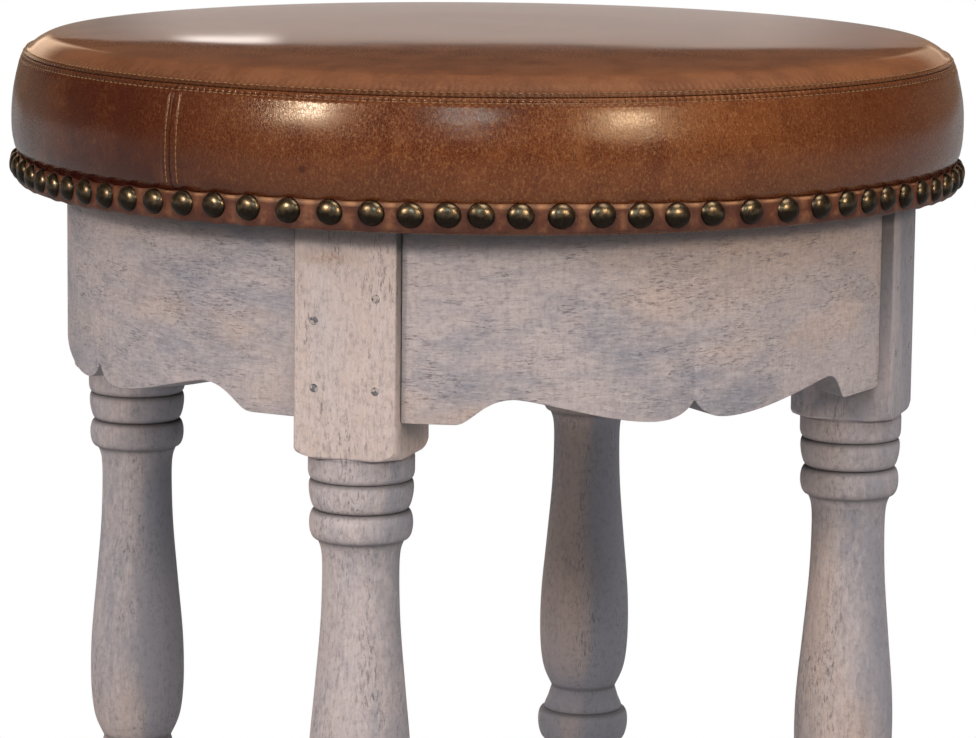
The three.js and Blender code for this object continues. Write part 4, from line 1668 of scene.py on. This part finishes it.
@dataclass
class Legs:
    """Four turned legs with square blocks, their joint pins and glides."""

    circle: float = 197.6
    half: float = 26.0
    top: float = 418.0
    block_bottom: float = 305.0
    shoulder: float = 8.0
    collar: float = 12.5
    bead_height: float = 14.8
    bead_radius: float = 25.3
    base: float = 25.8
    leg_bottom: float = 4.3
    foot: float = 65.5
    lower_bead: float = 18.5
    cone: float = 13.0
    pin_radius: float = 2.0
    pin_across: float = 15.5
    pin_heights: tuple[tuple[float, float], ...] = ((384.0, 339.5), (372.0, 339.5))
    pin_length: float = 30.0
    pin_play: float = 0.06
    pin_proud: float = 0.12
    rail_circle: float = 208.0
    mortise_half: float = 4.8
    mortise_ends: Point = (7.7, 31.0)
    mortise_heights: Point = (329.5, 408.3)
    vase_shares: tuple[Point, ...] = (
        (0, 0.83), (0.04, 0.748), (0.12, 0.729), (0.27, 0.76), (0.46, 0.86), (0.64, 0.961),
        (0.77, 0.986), (0.87, 0.957), (0.94, 0.876), (1, 0.705))
    foot_shares: tuple[Point, ...] = (
        (0, 0.806), (0.06, 0.72), (0.13, 0.7), (0.38, 0.765), (0.65, 0.73), (0.92, 0.63),
        (1, 0.56))
    sides: int = 80
    grooves: tuple[tuple[float, float, float], ...] = (
        (292.3, 1.5, 1.0), (277.6, 1.4, 1.0), (262.9, 1.8, 0.8), (304.4, 0.9, 0.6),
        (102.0, 1.4, 0.8), (88.0, 1.2, 0.9), (69.6, 1.5, 0.8))
    # Painted light on each block: lightness and warmth by how the block faces the lamps.
    block_painted_light_and_shade: dict[str, Point] = field(default_factory=lambda: {
        "front_left": (0.42, 1.7), "front_right": (-0.45, -1.6), "back_left": (0.1, 0.0),
        "back_right": (0.0, 0.2)})
    # The direction of the side of each turned part that gets painted shade.
    painted_shade_side: float = -27.6
    # For each leg: how much painted shade on that side, and a painted lightness of its turned
    # part.
    turned_wash: dict[str, Point] = field(default_factory=lambda: {
        "front_left": (0.45, 0.22), "front_right": (0.40, 0.0), "back_left": (1.15, 0.0),
        "back_right": (1.2, -0.5)})

    def bead(self, top: float, height: float, radii: tuple[float, float, float]) -> list[Point]:
        """A round bead downwards from its top: radius there, at its crest, at its foot."""
        first, crest, last = radii
        points = []
        for step in range(1, 17):
            angle = math.pi * step / 16
            share = (1 - math.cos(angle)) / 2
            middle = first + (last - first) * share
            points.append((middle + (crest - (first + last) / 2) * math.sin(angle) ** 0.75,
                           top - share * height))
        return points

    def turning(self) -> list[Point]:
        """Outline of the turned part, from inside the block to the floor."""
        half, bottom = self.half, self.block_bottom
        first = bottom - self.collar
        second, vase = first - self.bead_height, first - 2 * self.bead_height
        foot = self.leg_bottom + self.foot
        lower = foot + self.lower_bead
        cone = lower + self.cone
        line = [(0.0, bottom + 5), (half - 0.6, bottom + 5), (half - 0.5, bottom + 0.1),
                (half - 0.1, bottom - 0.7), (half, bottom - 1.6), (half, first + 4.4),
                (half - 0.15, first + 2.9), (half - 0.6, first + 1.5), (half - 1.3, first + 0.4),
                (half - 2.2, first)]
        line += self.bead(first, self.bead_height, (half - 2.2, self.bead_radius, 21.7))
        line += self.bead(second, self.bead_height, (21.7, self.bead_radius, 21.4))
        line += [(radius * self.base, vase - drop * (vase - cone))
                 for drop, radius in spline(self.vase_shares, 54)][1:]
        line += [(18.6, cone - 1.2), (20.2, lower + 6.5), (21.9, lower + 2.6), (22.5, lower + 0.8),
                 (22.3, lower)]
        line += self.bead(lower, self.lower_bead, (22.3, self.base, 20.8))
        line += [(radius * self.base, foot - drop * self.foot)
                 for drop, radius in spline(self.foot_shares, 30)][1:]
        end = line.pop()
        line += [(end[0] + 0.1, end[1] + 1.0), (end[0] - 0.8, end[1]), (0.0, end[1])]
        return line

    def block(self) -> Piece:
        """The square block, its lower corners turned round."""
        half = self.half
        piece = Bench.block("block", Vector((-half, -half, self.block_bottom)),
                            Vector((half, half, self.top)))
        Bench.modify(piece, "BEVEL", width=1.5 * MM, segments=3, limit_method="ANGLE",
                     affect="EDGES")
        corner, inner = math.hypot(half, half), half + 0.6
        line = [(0.0, self.block_bottom + 0.01), (inner, self.block_bottom + 0.01)]
        for step in range(1, 9):
            angle = math.pi / 2 * step / 8
            line.append((inner + (corner - inner) * math.sin(angle),
                         self.block_bottom + self.shoulder * (1 - math.cos(angle))))
        line += [(corner + 5, self.block_bottom + self.shoulder), (corner + 5, self.top + 9),
                 (0.0, self.top + 9)]
        Bench.shape(piece, Bench.lathe("shoulder", line, 128), "INTERSECT")
        return piece

    def model(self) -> Piece:
        """One leg along the +X diagonal, with its mortises and pin holes."""
        piece = self.block()
        for side, heights in zip((1, -1), self.pin_heights):
            middle = math.sqrt(self.rail_circle**2 - self.half**2) - self.circle
            near, far = sorted(side * end for end in self.mortise_ends)
            low, high = self.mortise_heights
            room = Bench.block("mortise", Vector((middle - self.mortise_half, near, low)),
                               Vector((middle + self.mortise_half, far, high)))
            Bench.shape(piece, room, "DIFFERENCE")
            for height in heights:
                start = Vector((self.half - self.pin_length, side * self.pin_across, height))
                end = Vector((self.half + 4, side * self.pin_across, height))
                drill = Bench.bar("drill", self.pin_radius + self.pin_play, (start, end), 24)
                Bench.shape(piece, drill, "DIFFERENCE")
        Bench.join(piece, Bench.lathe("turning", self.turning(), self.sides))
        Bench.mark(piece, "grain", lambda co: Vector((co.x, co.y, co.z)) * MM)
        # Darker in the turned grooves, and painted shade on the block's sides next to the aprons.
        Bench.mark(piece, "wear", lambda co: Vector((self.dirt(co.z) + self.joint(co), 0, 0)))
        piece.location.x = self.circle * MM
        Bench.settle(piece)
        Bench.smooth(piece, 32)
        return Bench.call(piece, "leg_model")

    def dirt(self, height: float) -> float:
        """How dark the wash is at a height, most in the turned grooves."""
        return min(1.0, sum(depth * swell(height - at, width)
                            for at, width, depth in self.grooves))

    def joint(self, co: Vector) -> float:
        """How dark a block's sides are painted in the corner with the apron: painted shade."""
        side = ease(abs(co.y), self.half - 0.5, self.half - 0.1)
        return side * ease(co.z, self.block_bottom + 8, self.block_bottom + 12)

    def pins(self) -> Piece:
        """The four joint pins of a leg, slightly proud of its outer face."""
        bars = []
        for side, heights in zip((1, -1), self.pin_heights):
            for height in heights:
                face = self.circle + self.half
                start = Vector((face - self.pin_length, side * self.pin_across, height))
                end = Vector((face + self.pin_proud, side * self.pin_across, height))
                bar = Bench.bar("pin", self.pin_radius, (start, end), 24)
                Bench.modify(bar, "BEVEL", width=0.3 * MM, segments=2, limit_method="ANGLE")
                bars.append(bar)
        piece = Bench.join(*bars)
        Bench.smooth(piece, 40)
        return piece

    def glide(self) -> Piece:
        """A nail-on glide with its rounded disc and its pin."""
        line = [(0, 0), (7.6, 0), (8.6, 0.15), (9.4, 0.6), (9.85, 1.3), (10, 2.2), (10, 3.7),
                (9.7, 4.0), (1.6, 4.0), (1.6, 15.5), (0, 18.0)]
        piece = Bench.lathe("glide", line, 40)
        piece.location.x = self.circle * MM
        Bench.settle(piece)
        Bench.smooth(piece, 40)
        return piece

    def age(self, piece: Piece, corner: Corner) -> None:
        """Gives a leg its own cut of wood, painted light on its block and turned part, and painted
        shade on one side of the turned part.
        """
        shift = Vector((corner.value, 2 * corner.value, corner.value)) / 90
        light, warmth = self.block_painted_light_and_shade[corner.name]
        turn = math.radians(self.painted_shade_side - corner.value)
        grey, pale = self.turned_wash[corner.name]
        grains, wears = (piece.data.attributes[name].data for name in ("grain", "wear"))
        for grain, wear in zip(grains, wears):
            block = ease(grain.vector[2] / MM, self.block_bottom - 1, self.block_bottom + 2)
            across = grain.vector[0] * math.cos(turn) + grain.vector[1] * math.sin(turn)
            # Painted shade on one side of the turned part.
            thin = grey * ease(across, -0.006, 0.019) * (1 - block)
            grain.vector = Vector(grain.vector) + shift
            # Painted lightness and warmth on the block and the turned part.
            wear.vector = Vector(wear.vector) + Vector(
                (thin * 0.12, light * block + pale * (1 - block) - thin, warmth * block - thin))

    def build(self, wood: bpy.types.Material) -> None:
        """Makes each kind once and sets it at the four corners."""
        kinds = (
            (self.model(), "leg_{}", wood, "wood", ("leg_{}",)),
            (self.pins(), "joint_pins_{}", PegWood().make(), "joint_pin",
             ("pin_{}_a1", "pin_{}_a2", "pin_{}_b1", "pin_{}_b2")),
            (self.glide(), "glide_{}", Plastic().make(), "glide_plastic", ("glide_{}",)))
        for master, name, finish, slot, nodes in kinds:
            for corner in Corner:
                piece = Bench.copy(master, "turned_" + name.format(corner.name),
                                   turned(corner.value))
                if "grain" in piece.data.attributes:
                    self.age(piece, corner)
                dress(piece, finish, slot, [node.format(corner.name) for node in nodes])
            Bench.drop(master)


@dataclass
class Hardware:
    """Screws of the corner blocks and of the seat, and the blocks themselves."""

    radius: float = 2.0
    head: float = 4.2
    head_height: float = 2.6
    corner_in: float = 151.3
    corner_length: float = 52.0
    corner_height: float = 405.0
    corner_across: float = 48.0
    seat_seat: float = 393.7
    seat_length: float = 36.0
    seat_place: float = 161.3

    def screw(self, length: float) -> Piece:
        """A pan-head screw with a cross recess, point up, head's seat at the origin."""
        line = [(0.0, -self.head_height), (2.2, -self.head_height), (3.4, -2.2),
                (4.0, -1.5), (self.head, -0.7), (self.head, 0.0), (1.75, 0.0), (1.75, 9.0)]
        height = 9.0
        while height < length - 5:
            line += [(1.45, height + 0.3), (self.radius, height + 0.9), (1.45, height + 1.5)]
            height += 1.6
        line += [(1.3, length - 3.4), (0.0, length)]
        piece = Bench.lathe("screw", line, 16)
        for wide, deep in ((3.6, 0.9), (0.9, 3.6)):
            slot = Bench.block("slot", Vector((-wide / 2, -deep / 2, -self.head_height - 1)),
                               Vector((wide / 2, deep / 2, -self.head_height + 1.3)))
            Bench.shape(piece, slot, "DIFFERENCE")
        Bench.smooth(piece, 35)
        return piece

    def build(self) -> None:
        """Makes and places the twelve screws, and dresses the corner blocks."""
        steel = Metal().make()
        long, short = self.screw(self.corner_length), self.screw(self.seat_length)
        blocks = PlainWood("block_wood", (0.62, 0.44, 0.26), (0.40, 0.25, 0.13),
                           (1.0, 5.0, 5.0)).make()
        for corner in Corner:
            turn = turned(corner.value)
            for letter, side in (("a", 1), ("b", -1)):
                spot = Vector((self.corner_in - 0.3, side * self.corner_across,
                               self.corner_height)) * MM
                place = turn @ Matrix.Translation(spot) @ Matrix.Rotation(math.pi / 2, 4, "Y")
                piece = Bench.copy(long, f"block_screw_{corner.name}_{letter}", place)
                dress(piece, steel, "screw_steel", [f"corner_screw_{corner.name}_{letter}"])
            spot = Vector((self.seat_place, 0, self.seat_seat)) * MM
            piece = Bench.copy(short, f"board_screw_{corner.name}",
                               turn @ Matrix.Translation(spot))
            dress(piece, steel, "screw_steel", [f"seat_screw_{corner.name}"])
            coat(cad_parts[f"corner_block_{corner.name}"], blocks)
        Bench.drop(long)
        Bench.drop(short)


# Studio


@dataclass(frozen=True)
class Lamp:
    """A soft lamp, aimed at the seat: where it stands, how large and how bright."""

    name: str
    azimuth: float
    elevation: float
    distance: float
    size: tuple[float, float]
    power: float
    tint: Colour = WHITE
    on_crown: bool = False

    def hang(self, aim: Vector, crown: Piece) -> None:
        """Adds the lamp; a low one leaves out the crown, which would mirror it in glare.

        Args:
            aim: The point that it shines at.
            crown: The seat's top panel.
        """
        rise = math.radians(self.elevation)
        spot = aim + polar(self.distance * math.cos(rise), math.radians(self.azimuth),
                           self.distance * math.sin(rise))
        Bench.clear()
        bpy.ops.object.light_add(type="AREA", location=spot)
        lamp = bpy.context.object
        lamp.name = self.name
        lamp.rotation_euler = (spot - aim).to_track_quat("Z", "Y").to_euler()
        lamp.data.shape = "ELLIPSE"
        lamp.data.size, lamp.data.size_y = self.size
        lamp.data.energy = self.power
        lamp.data.color = self.tint
        if not self.on_crown:
            left_out = bpy.data.collections.new(f"not_lit_by_{self.name}")
            left_out.objects.link(crown)
            left_out.collection_objects[0].light_linking.link_state = "EXCLUDE"
            lamp.light_linking.receiver_collection = left_out
        log.info("lamp %s: %.0f W", self.name, self.power)


@dataclass
class Studio:
    """Pale floor, white surroundings, soft lamps and the camera."""

    camera_height: float = 0.6686
    camera_distance: float = 2.19137
    azimuth: float = -27.591
    pitch: float = 8.8588
    yaw: float = 0.185
    roll: float = 0.6114
    lens: float = 155.08
    sensor: float = 36.0
    shift: Point = (0.01693, -0.0213)
    ambient: float = 0.06
    overhead: float = 1.40
    floor_size: float = 14.0
    floor_tone: Colour = (0.50, 0.50, 0.50)
    floor_dirt: Colour = (0.45, 0.45, 0.45)
    sheen: Colour = (1.0, 0.92, 0.86)
    gilding: Colour = (1.0, 0.72, 0.50)
    aim: tuple[float, float, float] = (0.0, 0.0, 0.42)
    lamps: tuple[Lamp, ...] = (
        Lamp("window_left", -159, 21, 2.2, (0.23, 0.30), 16.0, (1.0, 0.87, 0.75)),
        Lamp("window_right", -85, 18, 2.2, (0.45, 0.36), 11.8, (1.0, 0.82, 0.62)),
        Lamp("window_middle", -122, 21, 2.3, (0.46, 0.30), 3.7, (0.50, 0.80, 1.0)),
        Lamp("fill_behind", 62, 32, 2.4, (1.4, 1.4), 9.0),
        Lamp("overhead", -75, 64, 2.2, (1.3, 1.3), 12.0, (1.0, 0.95, 0.88), True))

    def world(self) -> None:
        """White surroundings for the camera; a bright sweep low behind for reflections."""
        world = bpy.data.worlds.new("studio")
        bpy.context.scene.world = world
        world.use_nodes = True
        board = Board(world.node_tree)
        seen, glossy, through = board.rays()
        way = board.node("ShaderNodeTexCoord")
        up = board.split(way)[2]
        back = math.radians(90 + self.azimuth)
        behind = board.vectors("DOT_PRODUCT", way, (math.cos(back), math.sin(back), 0.0), 1)
        left = board.vectors("DOT_PRODUCT", way, (-math.sin(back), math.cos(back), 0.0), 1)
        low = 1 - up.ease(0.117, 0.124)
        glow = up.ease(0.098, 0.110) * left.ease(0.050, 0.060) * (
            1 - left.ease(0.072, 0.084)) * 1.4
        aside = left.size()
        flank = aside.ease(0.13, 0.20) * (1 - aside.ease(0.38, 0.50)) * up.ease(0.05, 0.10) * (
            1 - up.ease(0.20, 0.34)) * (left.ease(-0.1, 0.1) * 0.8 + 0.6)
        wide = (left + 0.10).ease(0.0, 0.035) * (1 - left.ease(0.074, 0.10)) * 0.45 + 0.55
        gilt = aside.ease(0.09, 0.15)
        sweep = (low * wide * (glow + 0.46) + flank) * behind.ease(0.2, 0.7) + 0.02
        rest = 1 - seen - glossy - through
        strength = seen + through + glossy * sweep + rest * (
            up.ease(0.15, 0.85) * self.overhead + self.ambient)
        light = board.node("ShaderNodeBackground", inputs={
            "Color": board.mix(glossy, WHITE, board.mix(gilt, self.sheen, self.gilding)),
            "Strength": strength})
        board.node("ShaderNodeOutputWorld", inputs={"Surface": light})

    def floor(self) -> None:
        """A pale floor that keeps the shadow, white further off and clear from below."""
        Bench.clear()
        bpy.ops.mesh.primitive_plane_add(size=self.floor_size)
        floor = Bench.call(bpy.context.object, "studio_floor")
        material, board = Board.material("pale_floor")
        place = board.place()
        x, y, _ = board.split(place)
        far = (x * x + y * y).ease(0.09, 0.19)
        seen, glossy, through = board.rays()
        speck = board.cloud(place, 40.0, 3.0)
        tone = board.mix(speck * 0.08, self.floor_tone, self.floor_dirt)
        matt = board.node("ShaderNodeBsdfDiffuse", inputs={"Color": tone})
        white = board.node("ShaderNodeEmission", inputs={
            "Color": (*WHITE, 1.0), "Strength": 1 - glossy * 0.60})
        share = (seen + through) * far + glossy * 0.85
        surface = board.node("ShaderNodeMixShader", inputs={0: share, 1: matt, 2: white})
        below = Value(board, board.tree.nodes.new("ShaderNodeNewGeometry").outputs["Backfacing"])
        surface = board.node("ShaderNodeMixShader", inputs={
            0: below * seen, 1: surface, 2: board.node("ShaderNodeBsdfTransparent")})
        board.node("ShaderNodeOutputMaterial", inputs={"Surface": surface})
        coat(floor, material)

    def camera(self) -> None:
        """The camera of the photograph."""
        turn = math.radians(self.azimuth)
        spot = (math.sin(turn) * self.camera_distance, -math.cos(turn) * self.camera_distance,
                self.camera_height)
        Bench.clear()
        bpy.ops.object.camera_add(location=spot)
        camera = bpy.context.object
        look = (Matrix.Rotation(turn, 3, "Z") @ Matrix.Rotation(math.radians(self.yaw), 3, "Z")
                @ Matrix.Rotation(math.radians(90 - self.pitch), 3, "X")
                @ Matrix.Rotation(math.radians(self.roll), 3, "Z"))
        camera.rotation_euler = look.to_euler()
        camera.data.sensor_width = self.sensor
        camera.data.lens = self.lens
        camera.data.shift_x, camera.data.shift_y = self.shift
        bpy.context.scene.camera = camera

    def build(self) -> None:
        """Sets up the camera, the surroundings and the floor."""
        bpy.context.scene.view_settings.view_transform = "Standard"
        self.camera()
        self.world()
        self.floor()

    def light(self) -> None:
        """Hangs the lamps, once the seat is there."""
        crown = bpy.data.objects["seat_top_panel"]
        for lamp in self.lamps:
            lamp.hang(Vector(self.aim), crown)


def main() -> None:
    """Builds the studio and the stool."""
    logging.basicConfig(level=logging.INFO, format="%(name)s: %(message)s")
    studio = Studio()
    studio.build()
    form = SeatForm()
    SeatCover(form).build()
    NailedStrip().build()
    Filling(form).build()
    SeatBase().build()
    Aprons().build(LimedWood(Grain.LEVEL).make())
    Legs().build(LimedWood(Grain.UPRIGHT).make())
    Hardware().build()
    studio.light()


if __name__ == "__main__":
    main()
